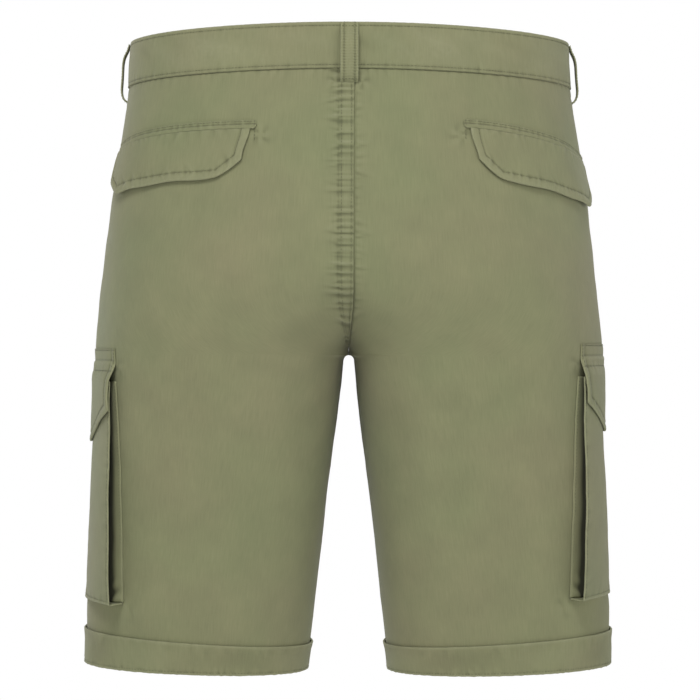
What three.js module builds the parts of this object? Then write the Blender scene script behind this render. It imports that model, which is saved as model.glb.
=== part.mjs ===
// Cargo shorts, filled out as if worn and held up at the waist.
// Millimetres, +Z up. The front faces -Y, and +X is the wearer's left.
// The origin is the centre of the waist, half way up the waistband at the side seams.
import * as THREE from "three";

// Cloth
const CLOTH = 1.5;
const POCKET_CLOTH = 1.2;
const SEAM_GAP = 0.3;
const HALF_GAP = SEAM_GAP / 2;

// Waistband
const BAND_HEIGHT = 36;
const BAND_PROUD = 1;
const BAND_CLOTH = 2.4;
const BAND_UNDERLAP = 30;
const BAND_LAP_CLEAR = 0.5;
const BAND_LAP_RAMP = 16;
const BAND_COLUMNS = 16;
const BAND_ROWS = 3;
const BACK_RISES = 5;
const FRONT_DROPS = 22;

// Body and legs
const CROTCH_Z = -238.5;
const SPLIT_HEIGHT = 150;
const ARCH_RADIUS = 4;
const LEG_SPREAD = 0.116;
const HEM_SIDE_Z = -491.5;
const HEM_INNER_Z = -496.5;

// Outline of the body and of one leg, a row for each height.
// outer: from the middle of the body to the side seam.
// front and back: from the side seam to the furthest point forward and backward.
// roundOut and roundIn: how square the section is on its outer and inner side, 2 being an ellipse.
const SECTIONS = [
  { z: 24, outer: 180, front: 117, back: 121, roundOut: 2.2, roundIn: 2.2 },
  { z: -18, outer: 182.3, front: 120, back: 126, roundOut: 2.2, roundIn: 2.3 },
  { z: -60, outer: 188.8, front: 124, back: 135, roundOut: 2.2, roundIn: 2.5 },
  { z: -110, outer: 196.5, front: 126, back: 143, roundOut: 2.2, roundIn: 2.8 },
  { z: -160, outer: 202.3, front: 125, back: 144, roundOut: 2.15, roundIn: 3 },
  { z: -200, outer: 206.4, front: 121, back: 137, roundOut: 2.1, roundIn: 3 },
  { z: -238, outer: 209.3, front: 115, back: 126, roundOut: 2.1, roundIn: 2.9 },
  { z: -300, outer: 210.6, front: 106, back: 111, roundOut: 2.1, roundIn: 2.6 },
  { z: -360, outer: 213.2, front: 99, back: 100, roundOut: 2.1, roundIn: 2.4 },
  { z: -430, outer: 215.9, front: 92, back: 90, roundOut: 2.1, roundIn: 2.3 },
  { z: -500, outer: 216.5, front: 87, back: 82, roundOut: 2.1, roundIn: 2.2 },
];

// Turned-up cuffs
const CUFF_SIDE_TOP_Z = -464;
const CUFF_INNER_TOP_Z = -476;
const CUFF_CLOTH = 1.3;
const CUFF_ROWS = 2;

// Belt loops. arc is the loop's distance from the seam that it is counted from, and room is the
// space for the belt between the loop and the waistband.
const LOOP_WIDTH = 13;
const LOOP_CLOTH = 1.1;
const LOOPS = [
  { name: "belt_loop_back", side: 1, from: "seat", arc: 0, room: 5 },
  { name: "belt_loop_side_left", side: 1, from: "side", arc: 0, room: 5 },
  { name: "belt_loop_side_right", side: -1, from: "side", arc: 0, room: 5 },
  { name: "belt_loop_front_left", side: 1, from: "fly", arc: 62, room: 6.2 },
  { name: "belt_loop_front_right", side: -1, from: "fly", arc: 62, room: 6.2 },
];
// A loop seen from its edge. drop: below the top of the waistband. The underside is lift off the
// body's surface, and share of the room more.
const LOOP_PROFILE = [
  { drop: 0.5, lift: 1.4, share: 0 },
  { drop: 5, lift: 1.4, share: 0.22 },
  { drop: 11, lift: 1.2, share: 0.8 },
  { drop: 16, lift: 1, share: 1 },
  { drop: 38, lift: 1, share: 1 },
  { drop: 43, lift: 0.9, share: 0.8 },
  { drop: 46, lift: 0.5, share: 0.4 },
  { drop: 47, lift: 0.4, share: 0 },
];

// Back pockets: a welt with a flap under it. inner is the arc from the seat seam to the flap.
const WELT_HEIGHT = 6.5;
const WELT_CLOTH = 1.4;
const WELT_OVERHANG = 6;
const BACK_FLAP_WIDTH = 158;
const BACK_FLAP_HEIGHT = 39;
const BACK_FLAP_CHAMFER_WIDE = 22;
const BACK_FLAP_CHAMFER_HIGH = 15;
const BACK_FLAP_CLOTH = 1.6;
const BACK_FLAP_STAND = 1.2;
const BACK_FLAP_CURL = 3;
const BACK_POCKETS = [
  { name: "left", side: 1, inner: 79, top: -54.5, droop: 13.5, bend: 2.5 },
  { name: "right", side: -1, inner: 97, top: -53, droop: 24, bend: 1.45 },
];

// Cargo pockets, over the side seam: a face, a pleated gusset at each side, and a flap.
// shift is how far the pocket is set back, and rise how far up, from the heights given here.
const CARGO_POCKETS = [
  { name: "left", side: 1, shift: 0, rise: 0 },
  { name: "right", side: -1, shift: 3, rise: 5 },
];
const CARGO_HALF_TOP = 79;
const CARGO_HALF_BOTTOM = 82;
const CARGO_TOP_Z = -260;
const CARGO_BOTTOM_Z = -438;
const CARGO_MID_LIFT = 0.5;
const CARGO_BOW = 2.4;
const GUSSET_DEPTH = 15;
const GUSSET_CLOTH = 1.1;
// How far the face's side edges stand off the leg, down the pocket's height.
const CARGO_EDGE_LIFT = [
  { z: -260, lift: 5 },
  { z: -275, lift: 6.8 },
  { z: -300, lift: 8.5 },
  { z: -325, lift: 11 },
  { z: -354, lift: 13.5 },
  { z: -391, lift: 15.5 },
  { z: -425, lift: 17 },
  { z: -438, lift: 17 },
];
const CARGO_FLAP_TOP_Z = -244;
const CARGO_FLAP_HEIGHT = 67;
const CARGO_FLAP_HALF_WIDTH = 76;
const CARGO_FLAP_CHAMFER_WIDE = 46;
const CARGO_FLAP_CHAMFER_HIGH = 28;
const CARGO_FLAP_CLEAR = 0.6;
const CARGO_FLAP_CLOTH = 1.2;
const CARGO_FLAP_ROWS = [0, 0.12, 0.2, 0.3, 0.42, 0.55, 0.7, 0.85, 1];

// Fly: the left front laps over the right one, and the waistband's left end over its right one.
// FLY_ROWS is how many of a front panel's rows, from the waist, lap over.
const FLY_LAP = 6;
const FLY_LAP_CLEAR = 0.5;
const FLY_LAP_RAMP = 30;
const FLY_ROWS = 6;
const BUTTON_FROM_MIDDLE = 10;
const BUTTON_CLEAR = 0.5;
const BUTTON_SIDES = 28;
// The button's outline, from the middle of its underside round its rim to the middle of its top.
const BUTTON_PROFILE = [
  { radius: 0, height: 0 },
  { radius: 7, height: 0 },
  { radius: 8.5, height: 0.9 },
  { radius: 8.5, height: 2 },
  { radius: 7.7, height: 2.6 },
  { radius: 6.1, height: 2.6 },
  { radius: 5.3, height: 1.8 },
  { radius: 0, height: 1.8 },
];

// Finishes
const OLIVE = 0x868a68;
const OLIVE_BUTTON = 0x6b6d50;
const CLOTH_FINISH = { color: OLIVE, roughness: 0.85, metalness: 0 };
const BUTTON_FINISH = { color: OLIVE_BUTTON, roughness: 0.45, metalness: 0 };

// Small sums
const mix = (a, b, t) => a + (b - a) * t;
const clamp = (t, low, high) => Math.min(high, Math.max(low, t));
const ease = (t) => t * t * (3 - 2 * t);
const swell = (t) => Math.sin((Math.PI / 2) * t) ** 2;
const steps = (count) => Array.from({ length: count + 1 }, (_, i) => i / count);

// Reads a column of a table at a height, on a smooth curve through its rows, highest row first.
function read(table, column, height) {
  const last = table.length - 1;
  const z = clamp(height, table[last].z, table[0].z);
  const i = clamp(table.findIndex((row) => row.z <= z) - 1, 0, last - 1);
  const slope = (k) => {
    const above = table[Math.max(0, k - 1)];
    const below = table[Math.min(last, k + 1)];
    return (below[column] - above[column]) / (below.z - above.z);
  };
  const run = table[i + 1].z - table[i].z;
  const t = (z - table[i].z) / run;
  const level = mix(table[i][column], table[i + 1][column], ease(t));
  return level + run * (t * (1 - t) ** 2 * slope(i) - t ** 2 * (1 - t) * slope(i + 1));
}

// How far the inner side of a leg's section is from the middle plane: negative above the crotch,
// where the two sections overlap and the cloth stops at the middle plane.
function innerReach(z, outer) {
  const below = CROTCH_Z - z;
  const merged = ease(clamp(-below / SPLIT_HEIGHT, 0, 1));
  if (merged === 1) return -outer;
  return LEG_SPREAD * below - (outer - LEG_SPREAD * SPLIT_HEIGHT) * merged;
}

// How much the rounded top of the gap between the legs takes off a section's inner half.
function archCut(z) {
  const drop = clamp((CROTCH_Z - z) / ARCH_RADIUS, 0, 1);
  return ARCH_RADIUS * Math.sqrt(drop * (2 - drop));
}

// Half of a section as a chain of points with running lengths, from the side seam to the middle
// plane or, below the crotch, to the inseam.
const CHAIN_STEPS = 72;
const chains = new Map();
function chainAt(z, toBack) {
  const key = z.toFixed(4) + toBack;
  if (chains.has(key)) return chains.get(key);
  const outer = read(SECTIONS, "outer", z);
  const deep = read(SECTIONS, toBack ? "back" : "front", z);
  const roundOut = read(SECTIONS, "roundOut", z);
  const roundIn = read(SECTIONS, "roundIn", z);
  const inner = innerReach(z, outer);
  const centre = (outer + inner) / 2;
  const half = (outer - inner) / 2;
  const cut = archCut(z);
  let end = Math.PI;
  if (inner < 0) {
    const across = clamp(centre / half, 0, 1);
    end = Math.atan2(deep * (1 - across ** roundIn) ** (1 / roundIn), -centre);
  }
  const points = [];
  const lengths = [0];
  for (const t of steps(CHAIN_STEPS)) {
    const c = Math.cos(end * t);
    const s = Math.sin(end * t);
    const n = c > 0 ? roundOut : roundIn;
    const wide = half - cut * Math.max(0, -c) ** 3;
    const r = ((Math.abs(c) / wide) ** n + (Math.abs(s) / deep) ** n) ** (-1 / n);
    points.push({ x: centre + r * c, y: (toBack ? 1 : -1) * r * s });
  }
  for (let i = 1; i < points.length; i++) {
    const run = Math.hypot(points[i].x - points[i - 1].x, points[i].y - points[i - 1].y);
    lengths.push(lengths[i - 1] + run);
  }
  const chain = { points, lengths, total: lengths[CHAIN_STEPS] };
  chains.set(key, chain);
  return chain;
}

// Length of cloth at a height from the side seam to the middle plane or inseam.
const girth = (z, toBack) => chainAt(z, toBack).total;

// A point of the body's surface. arc runs from the side seam, backward positive. An arc that runs
// past the middle plane carries on round the other half.
function surfaceAt(side, z, arc) {
  const toBack = arc >= 0;
  const chain = chainAt(z, toBack);
  const past = Math.abs(arc) > chain.total;
  const run = past ? 2 * chain.total - Math.abs(arc) : Math.abs(arc);
  let i = chain.lengths.findIndex((length) => length >= run);
  i = clamp(i, 1, CHAIN_STEPS);
  const t = (run - chain.lengths[i - 1]) / (chain.lengths[i] - chain.lengths[i - 1]);
  const a = chain.points[i - 1];
  const b = chain.points[i];
  return new THREE.Vector3((past ? -side : side) * mix(a.x, b.x, t), mix(a.y, b.y, t), z);
}

// The outward direction of the body's surface at that point.
const PROBE_ARC = 2;
const PROBE_Z = 1;
function outwardAt(side, z, arc) {
  const limit = girth(z, arc >= 0);
  const free = Math.abs(arc) > limit || z > CROTCH_Z + SPLIT_HEIGHT;
  const ahead = free ? arc + PROBE_ARC : Math.min(arc + PROBE_ARC, limit);
  const behind = free ? arc - PROBE_ARC : Math.max(arc - PROBE_ARC, -limit);
  const along = surfaceAt(side, z, ahead).sub(surfaceAt(side, z, behind));
  const highest = z > CROTCH_Z ? z + PROBE_Z : Math.min(z + PROBE_Z, CROTCH_Z);
  const lowest = z > CROTCH_Z ? Math.max(z - PROBE_Z, CROTCH_Z) : z - PROBE_Z;
  const reach = free ? Infinity : Math.min(girth(highest, arc >= 0), girth(lowest, arc >= 0));
  const level = clamp(arc, -reach, reach);
  const up = surfaceAt(side, highest, level).sub(surfaceAt(side, lowest, level));
  return along.cross(up).multiplyScalar(side).normalize();
}

// A point lifted off the body's surface.
function lifted(side, z, arc, lift) {
  return surfaceAt(side, z, arc).addScaledVector(outwardAt(side, z, arc), lift);
}

// Makes a closed solid from an outer and an inner grid of points, rows by columns. Each square
// is split along its shorter diagonal.
function shell(outer, inner, { ring = false } = {}) {
  const rows = outer.length;
  const columns = outer[0].length;
  const points = [...outer.flat(), ...inner.flat()];
  const position = points.flatMap((p) => [p.x, p.y, p.z]);
  const index = [];
  const at = (layer, r, c) => layer * rows * columns + r * columns + (c % columns);
  const quad = (a, b, c, d) => {
    const across = points[a].distanceTo(points[c]) <= points[b].distanceTo(points[d]);
    index.push(...(across ? [a, b, c, a, c, d] : [a, b, d, b, c, d]));
  };
  const spans = ring ? columns : columns - 1;
  for (let r = 0; r < rows - 1; r++)
    for (let c = 0; c < spans; c++) {
      quad(at(0, r, c), at(0, r + 1, c), at(0, r + 1, c + 1), at(0, r, c + 1));
      quad(at(1, r, c), at(1, r, c + 1), at(1, r + 1, c + 1), at(1, r + 1, c));
    }
  for (let c = 0; c < spans; c++) {
    quad(at(0, 0, c), at(0, 0, c + 1), at(1, 0, c + 1), at(1, 0, c));
    quad(at(0, rows - 1, c), at(1, rows - 1, c), at(1, rows - 1, c + 1), at(0, rows - 1, c + 1));
  }
  for (let r = 0; r < rows - 1 && !ring; r++) {
    quad(at(0, r, 0), at(1, r, 0), at(1, r + 1, 0), at(0, r + 1, 0));
    const c = columns - 1;
    quad(at(0, r, c), at(0, r + 1, c), at(1, r + 1, c), at(1, r, c));
  }
  if (signedVolume(position, index) < 0)
    for (let i = 0; i < index.length; i += 3) [index[i], index[i + 1]] = [index[i + 1], index[i]];
  const geometry = new THREE.BufferGeometry();
  geometry.setAttribute("position", new THREE.Float32BufferAttribute(position, 3));
  geometry.setIndex(index);
  geometry.computeVertexNormals();
  return geometry;
}

function signedVolume(position, index) {
  const corner = (i) => new THREE.Vector3().fromArray(position, 3 * index[i]);
  let sum = 0;
  for (let i = 0; i < index.length; i += 3) sum += corner(i).dot(corner(i + 1).cross(corner(i + 2)));
  return sum / 6;
}

// A patch of cloth that lies on the body. place(u, v) gives arc, z and lift of its underside.
function patch(side, columns, rows, cloth, place) {
  const grid = (extra) =>
    rows.map((v) =>
      columns.map((u) => {
        const { arc, z, lift } = place(u, v);
        return lifted(side, z, arc, lift + extra);
      }),
    );
  return shell(grid(cloth), grid(0));
}

const shorts = new THREE.Group();
const clothMaterial = () => new THREE.MeshStandardMaterial(CLOTH_FINISH);
function add(name, geometry, material = clothMaterial()) {
  const mesh = new THREE.Mesh(geometry, material);
  mesh.name = name;
  shorts.add(mesh);
  return mesh;
}

// Heights down the middle of a panel, evenly spaced along the rise seam from the waist to the
// crotch, so that the rows close up where that seam turns under.
const RISE_STEPS = 400;
function riseHeights(toBack, count) {
  const top = -BAND_HEIGHT / 2 - HALF_GAP + (toBack ? BACK_RISES : -FRONT_DROPS);
  const heights = steps(RISE_STEPS).map((t) => mix(top, CROTCH_Z, 1 - (1 - t) ** 2));
  const run = [0];
  for (let i = 1; i < heights.length; i++) {
    const a = surfaceAt(1, heights[i - 1], (toBack ? 1 : -1) * girth(heights[i - 1], toBack));
    const b = surfaceAt(1, heights[i], (toBack ? 1 : -1) * girth(heights[i], toBack));
    run.push(run[i - 1] + a.distanceTo(b));
  }
  return steps(count).map((t) => {
    const want = t * run[RISE_STEPS];
    const i = clamp(run.findIndex((length) => length >= want), 1, RISE_STEPS);
    return mix(heights[i - 1], heights[i], (want - run[i - 1]) / (run[i] - run[i - 1]));
  });
}

// The rows of a panel: its height at the side seam and at its inner edge.
const RISE_ROWS = 13;
const LEG_ROWS = 11;
const ARCH_DROPS = [1.2, 4];
function panelRows(toBack) {
  const rise = riseHeights(toBack, RISE_ROWS);
  const sideTop = -BAND_HEIGHT / 2 - HALF_GAP;
  const upper = rise.map((inner, i) => ({
    side: mix(sideTop, CROTCH_Z, i / RISE_ROWS),
    inner,
    lap: i < FLY_ROWS ? FLY_LAP : 0,
    stand: i <= FLY_ROWS ? CLOTH + FLY_LAP_CLEAR : 0,
  }));
  const lower = steps(LEG_ROWS)
    .slice(1)
    .map((t, i) => ({
      side: mix(CROTCH_Z, HEM_SIDE_Z, t),
      inner: i < ARCH_DROPS.length ? CROTCH_Z - ARCH_DROPS[i] : mix(CROTCH_Z, HEM_INNER_Z, t),
    }));
  return [...upper, ...lower];
}

// A point of a quarter of the body with its half leg, from the waist seam to the hem. u runs from
// the side seam to the middle or the inseam. At the fly the left front runs past the middle, and
// stands off the right one.
const PANEL_COLUMNS = 14;
function panelPoint(side, toBack, row, u, lift) {
  const { lap = 0, stand = 0 } = side > 0 && !toBack ? row : {};
  const limit = girth(row.inner, toBack);
  const share = mix(HALF_GAP, limit + lap, u) / limit;
  const z = mix(row.side, row.inner, swell(share));
  const run = lap > 0 ? share * limit : Math.min(share * limit, girth(z, toBack) - HALF_GAP);
  const over = ease(clamp(1 - ((1 - share) * limit) / FLY_LAP_RAMP, 0, 1));
  const arc = (toBack ? 1 : -1) * run;
  const outward = outwardAt(side, z, arc);
  // A seam's edge stays in its plane: the side seam and inseam in front-back, the rise in width.
  if (u === 1 && lap === 0 && z >= CROTCH_Z) outward.x = side * Math.min(0, side * outward.x);
  if (u === 0 || (u === 1 && z < CROTCH_Z)) outward.y = 0;
  return surfaceAt(side, z, arc).addScaledVector(outward.normalize(), lift + over * stand);
}

function panel(side, toBack) {
  const rows = panelRows(toBack);
  const columns = steps(PANEL_COLUMNS);
  const grid = (lift) => rows.map((row) => columns.map((u) => panelPoint(side, toBack, row, u, lift)));
  return shell(grid(0), grid(-CLOTH));
}

// Height of the waist seam, or of a line that runs level with it, at a share of the way from the
// side seam to the middle.
function waistLine(z, share, toBack) {
  return z + (toBack ? BACK_RISES : -FRONT_DROPS) * swell(share);
}

// The waistband is one strip. Its right end lies under the fly. From there it runs round the
// right side, the back and the left side, and its left end laps over the right one.
function waistband() {
  const quarter = steps(BAND_COLUMNS);
  const under = [1, 0.5].map((t) => ({ side: -1, toBack: false, share: 1, past: t * BAND_UNDERLAP }));
  const stops = [
    ...under,
    ...quarter.map((t) => ({ side: -1, toBack: false, share: 1 - t })),
    ...quarter.slice(1).map((t) => ({ side: -1, toBack: true, share: t })),
    ...quarter.slice(1).map((t) => ({ side: 1, toBack: true, share: 1 - t })),
    ...quarter.slice(1).map((t) => ({ side: 1, toBack: false, share: t })),
    { side: 1, toBack: false, share: 1, past: FLY_LAP },
  ];
  const grid = (lift) =>
    steps(BAND_ROWS).map((v) =>
      stops.map(({ side, toBack, share, past = 0 }) => {
        const level = mix(BAND_HEIGHT / 2, -BAND_HEIGHT / 2 + HALF_GAP, v);
        const limit = girth(waistLine(level, 1, toBack), toBack);
        const z = waistLine(level, share + past / limit, toBack);
        const fromMiddle = (1 - share) * limit;
        const near = clamp(1 - (fromMiddle - BAND_UNDERLAP) / BAND_LAP_RAMP, 0, 1);
        const over = side > 0 && !toBack ? ease(near) * (BAND_CLOTH + BAND_LAP_CLEAR) : 0;
        return lifted(side, z, (toBack ? 1 : -1) * (share * limit + past), lift + over);
      }),
    );
  return shell(grid(BAND_PROUD), grid(BAND_PROUD - BAND_CLOTH));
}

// A belt loop: a strip whose two ends are sewn down and whose middle stands clear for a belt.
function beltLoop({ side, from, arc, room }) {
  const toBack = from !== "fly";
  const seat = from === "seat";
  const profile = LOOP_PROFILE.map((row) => new THREE.Vector2(row.drop, row.lift + row.share * room));
  const outside = profile.map((p, i) => {
    const before = profile[Math.max(0, i - 1)];
    const after = profile[Math.min(profile.length - 1, i + 1)];
    const run = after.clone().sub(before).normalize();
    return new THREE.Vector2(p.x - run.y * LOOP_CLOTH, p.y + run.x * LOOP_CLOTH);
  });
  const grid = (line) =>
    line.map((p) =>
      [-0.5, 0, 0.5].map((u) => {
        const level = girth(0, toBack);
        const middle = from === "side" ? arc : seat ? level : level - arc;
        const z = waistLine(BAND_HEIGHT / 2 - p.x, middle / level, toBack);
        const start = from === "side" ? arc : girth(z, toBack) - (seat ? 0 : arc);
        const place = (toBack ? 1 : -1) * start + u * LOOP_WIDTH;
        return lifted(side, z, place, p.y);
      }),
    );
  return shell(grid(outside), grid(profile));
}

// Height of a back pocket's top line at an arc from the seat seam.
function backPocketTop(pocket, fromSeat) {
  const share = (fromSeat - pocket.inner) / BACK_FLAP_WIDTH;
  return pocket.top - pocket.droop * Math.max(0, share) ** pocket.bend;
}

// Turns an arc from the seat seam into one from the side seam.
const fromSeam = (z, fromSeat) => girth(z, true) - fromSeat;

function backWelt(pocket) {
  const first = pocket.inner - WELT_OVERHANG;
  const last = pocket.inner + BACK_FLAP_WIDTH - WELT_OVERHANG;
  return patch(pocket.side, steps(12), steps(1), WELT_CLOTH, (u, v) => {
    const along = mix(first, last, u);
    const z = backPocketTop(pocket, Math.max(along, pocket.inner)) - v * WELT_HEIGHT;
    return { arc: fromSeam(z, along), z, lift: SEAM_GAP };
  });
}

// Columns of a flap, with one at each corner of its cut-off corners.
function flapColumns(corner) {
  const cut = steps(3).map((t) => t * corner);
  const between = steps(6).slice(1, -1).map((t) => mix(corner, 1 - corner, t));
  return [...cut, ...between, ...cut.map((t) => 1 - t).reverse()];
}

// A flap's own height at u, where its two lower corners are cut off.
function flapDrop(u, height, corner, cutHigh) {
  const edge = Math.min(u, 1 - u);
  return edge >= corner ? height : height - cutHigh * (1 - edge / corner);
}

function backFlap(pocket) {
  const corner = BACK_FLAP_CHAMFER_WIDE / BACK_FLAP_WIDTH;
  return patch(pocket.side, flapColumns(corner), steps(4), BACK_FLAP_CLOTH, (u, v) => {
    const along = pocket.inner + u * BACK_FLAP_WIDTH;
    const top = backPocketTop(pocket, along) - WELT_HEIGHT - SEAM_GAP;
    const z = top - v * flapDrop(u, BACK_FLAP_HEIGHT, corner, BACK_FLAP_CHAMFER_HIGH);
    const flare = v * (BACK_FLAP_STAND + BACK_FLAP_CURL * u ** 3);
    return { arc: fromSeam(z, along), z, lift: 2 * SEAM_GAP + flare };
  });
}

// Half the cargo pocket's width, which grows a little down the leg.
function cargoHalf(z) {
  const down = (CARGO_TOP_Z - z) / (CARGO_TOP_Z - CARGO_BOTTOM_Z);
  return mix(CARGO_HALF_TOP, CARGO_HALF_BOTTOM, down);
}

// How far the cargo pocket's face stands off the leg.
function cargoLift(z, arc) {
  const edge = read(CARGO_EDGE_LIFT, "lift", z);
  return mix(CARGO_MID_LIFT, edge, Math.abs(arc / cargoHalf(z)) ** CARGO_BOW);
}

// The face of a cargo pocket. Its lower edge turns in to the leg.
function cargoFace({ side, shift, rise }) {
  const columns = steps(12);
  const rows = steps(11).map((v) => ({ z: mix(CARGO_TOP_Z, CARGO_BOTTOM_Z, v), turned: false }));
  rows.push({ z: CARGO_BOTTOM_Z, turned: true });
  const grid = (extra) =>
    rows.map((row, i) =>
      columns.map((u) => {
        const arc = mix(-1, 1, u) * cargoHalf(row.z);
        const low = i >= rows.length - 2 ? row.z - extra : row.z;
        const lift = row.turned ? SEAM_GAP : cargoLift(row.z, arc) + extra;
        return lifted(side, low + rise, arc + shift, lift);
      }),
    );
  return shell(grid(POCKET_CLOTH), grid(0));
}

// A gusset: from its sewn edge on the leg it runs in under the face, folds, and comes back out
// to the face's edge.
function cargoGusset({ side, shift, rise }, toBack) {
  const rows = steps(12).map((v) => mix(CARGO_TOP_Z, CARGO_BOTTOM_Z + SEAM_GAP, v));
  const sign = toBack ? 1 : -1;
  const path = (z, flip) => {
    const wide = cargoHalf(z);
    const ceiling = (arc) => cargoLift(z, arc) - 2 * SEAM_GAP;
    const lowest = SEAM_GAP;
    const fold = wide - GUSSET_DEPTH;
    const half = wide - GUSSET_DEPTH / 2;
    const middle = (lowest + ceiling(fold)) / 2;
    const slack = Math.max(0, ceiling(wide) - lowest - 3 * GUSSET_CLOTH) / 6;
    const cloth = flip ? GUSSET_CLOTH : 0;
    return [
      { arc: wide, lift: lowest + cloth },
      { arc: half, lift: lowest + slack + cloth },
      { arc: fold + cloth, lift: middle },
      { arc: half, lift: ceiling(half) - slack / 2 - cloth },
      { arc: wide, lift: ceiling(wide) - cloth },
    ];
  };
  const place = (z, p) => lifted(side, z + rise, sign * p.arc + shift, p.lift);
  const grid = (flip) => rows.map((z) => path(z, flip).map((p) => place(z, p)));
  return shell(grid(true), grid(false));
}

// The flap is sewn to the leg above the pocket and lies over its face.
function cargoFlap({ side, shift, rise }) {
  const width = 2 * CARGO_FLAP_HALF_WIDTH;
  const corner = CARGO_FLAP_CHAMFER_WIDE / width;
  return patch(side, flapColumns(corner), CARGO_FLAP_ROWS, CARGO_FLAP_CLOTH, (u, v) => {
    const arc = mix(-CARGO_FLAP_HALF_WIDTH, CARGO_FLAP_HALF_WIDTH, u);
    const z = CARGO_FLAP_TOP_Z - v * flapDrop(u, CARGO_FLAP_HEIGHT, corner, CARGO_FLAP_CHAMFER_HIGH);
    const onFace = cargoLift(z, arc) + POCKET_CLOTH + CARGO_FLAP_CLEAR;
    const past = clamp((CARGO_FLAP_TOP_Z - z) / (CARGO_FLAP_TOP_Z - CARGO_TOP_Z), 0, 1);
    return { arc: arc + shift, z: z + rise, lift: mix(SEAM_GAP, onFace, ease(past)) };
  });
}

// A turned-up cuff goes right round the hem, on the panels' own points.
function cuff(side) {
  const columns = steps(PANEL_COLUMNS);
  const top = { side: CUFF_SIDE_TOP_Z, inner: CUFF_INNER_TOP_Z };
  const bottom = { side: HEM_SIDE_Z - SEAM_GAP, inner: HEM_INNER_Z - SEAM_GAP };
  const grid = (lift) =>
    steps(CUFF_ROWS).map((v) => {
      const row = { side: mix(top.side, bottom.side, v), inner: mix(top.inner, bottom.inner, v) };
      const back = columns.map((u) => panelPoint(side, true, row, u, lift));
      const front = columns.map((u) => panelPoint(side, false, row, u, lift));
      return [...back, ...front.reverse()];
    });
  return shell(grid(SEAM_GAP + CUFF_CLOTH), grid(SEAM_GAP), { ring: true });
}

function addButton() {
  const profile = BUTTON_PROFILE.map(({ radius, height }) => new THREE.Vector2(radius, height));
  const material = new THREE.MeshStandardMaterial(BUTTON_FINISH);
  const mesh = add("waist_button", new THREE.LatheGeometry(profile, BUTTON_SIDES), material);
  const z = waistLine(0, 1, false);
  const arc = -(girth(z, false) - BUTTON_FROM_MIDDLE);
  const lift = BAND_PROUD + BAND_CLOTH + BAND_LAP_CLEAR + BUTTON_CLEAR;
  mesh.position.copy(lifted(1, z, arc, lift));
  mesh.quaternion.setFromUnitVectors(new THREE.Vector3(0, 1, 0), outwardAt(1, z, arc));
}

for (const [name, side] of [["left", 1], ["right", -1]]) {
  add("back_" + name, panel(side, true));
  add("front_" + name, panel(side, false));
  add("cuff_" + name, cuff(side));
}
for (const pocket of CARGO_POCKETS) {
  add("cargo_face_" + pocket.name, cargoFace(pocket));
  add("cargo_gusset_back_" + pocket.name, cargoGusset(pocket, true));
  add("cargo_gusset_front_" + pocket.name, cargoGusset(pocket, false));
  add("cargo_flap_" + pocket.name, cargoFlap(pocket));
}
for (const pocket of BACK_POCKETS) {
  add("back_welt_" + pocket.name, backWelt(pocket));
  add("back_flap_" + pocket.name, backFlap(pocket));
}
for (const loop of LOOPS) add(loop.name, beltLoop(loop));
add("waistband", waistband());
addButton();

export default shorts;
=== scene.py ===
"""Cargo shorts in olive cotton, filled out as if worn and held up at the waist.

Sizes are in millimetres and become metres when a mesh is made. +Z is up, the front faces -Y and
+X is the wearer's left. The camera looks at the seat, along -Y.

A place on the body is a height z and an arc: the length of cloth from the side seam, positive
toward the back and negative toward the front.
"""
import logging
import math
from dataclasses import dataclass, field
from enum import Enum

import bpy
import numpy as np
from mathutils import Matrix, Vector


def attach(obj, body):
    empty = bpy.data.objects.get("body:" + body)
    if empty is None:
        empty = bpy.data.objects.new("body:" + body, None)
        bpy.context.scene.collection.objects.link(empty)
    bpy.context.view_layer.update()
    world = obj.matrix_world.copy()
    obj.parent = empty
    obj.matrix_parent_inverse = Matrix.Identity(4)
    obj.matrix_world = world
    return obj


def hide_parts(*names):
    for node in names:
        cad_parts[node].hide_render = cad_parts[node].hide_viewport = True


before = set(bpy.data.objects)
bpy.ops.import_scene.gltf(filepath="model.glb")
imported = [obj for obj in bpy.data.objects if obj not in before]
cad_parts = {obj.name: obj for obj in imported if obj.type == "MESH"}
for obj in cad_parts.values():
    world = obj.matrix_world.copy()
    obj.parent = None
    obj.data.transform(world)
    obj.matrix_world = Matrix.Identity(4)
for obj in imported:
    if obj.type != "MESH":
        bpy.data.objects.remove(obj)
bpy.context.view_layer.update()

Array = np.ndarray
LOG = logging.getLogger("shorts")
MM = 0.001
SHORTEST_CUT = 0.01

# Thicknesses of the cloth, the gap between pieces that lie on each other, and half of a seam's gap.
CLOTH = 1.5
POCKET_CLOTH = 1.2
SEAM_GAP = 0.3
HALF_GAP = 0.03


class Slot(Enum):
    """The record's material slots."""

    COTTON = "olive_cotton"
    BUTTON = "olive_button"


class Side(Enum):
    """The wearer's two sides, with the sign of X there."""

    LEFT = 1
    RIGHT = -1

    @property
    def word(self) -> str:
        """The side's name as node names have it."""
        return self.name.lower()


class Hold(Enum):
    """How a piece of cloth is held."""

    HUNG = "hung"
    LAID = "laid"
    FOLDED = "folded"


def mix(a: Array | float, b: Array | float, t: Array | float) -> Array | float:
    """Blends from a to b as t goes from 0 to 1."""
    return a + (b - a) * t


def ease(t: Array | float) -> Array | float:
    """Turns a share into a soft step from 0 to 1, held at both ends."""
    t = np.clip(t, 0, 1)
    return t * t * (3 - 2 * t)


def ramp(x: Array | float, start: float, end: float) -> Array | float:
    """A soft step from 0 at start to 1 at end."""
    return ease((x - start) / (end - start))


def swell(t: Array | float) -> Array | float:
    """A quarter wave, squared: flat at 0 and at 1."""
    return np.sin(np.pi / 2 * t) ** 2


def ridge(x: Array | float, centre: float, width: float) -> Array | float:
    """A bell of height 1 round centre."""
    return np.exp(-(((x - centre) / width) ** 2))


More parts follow.
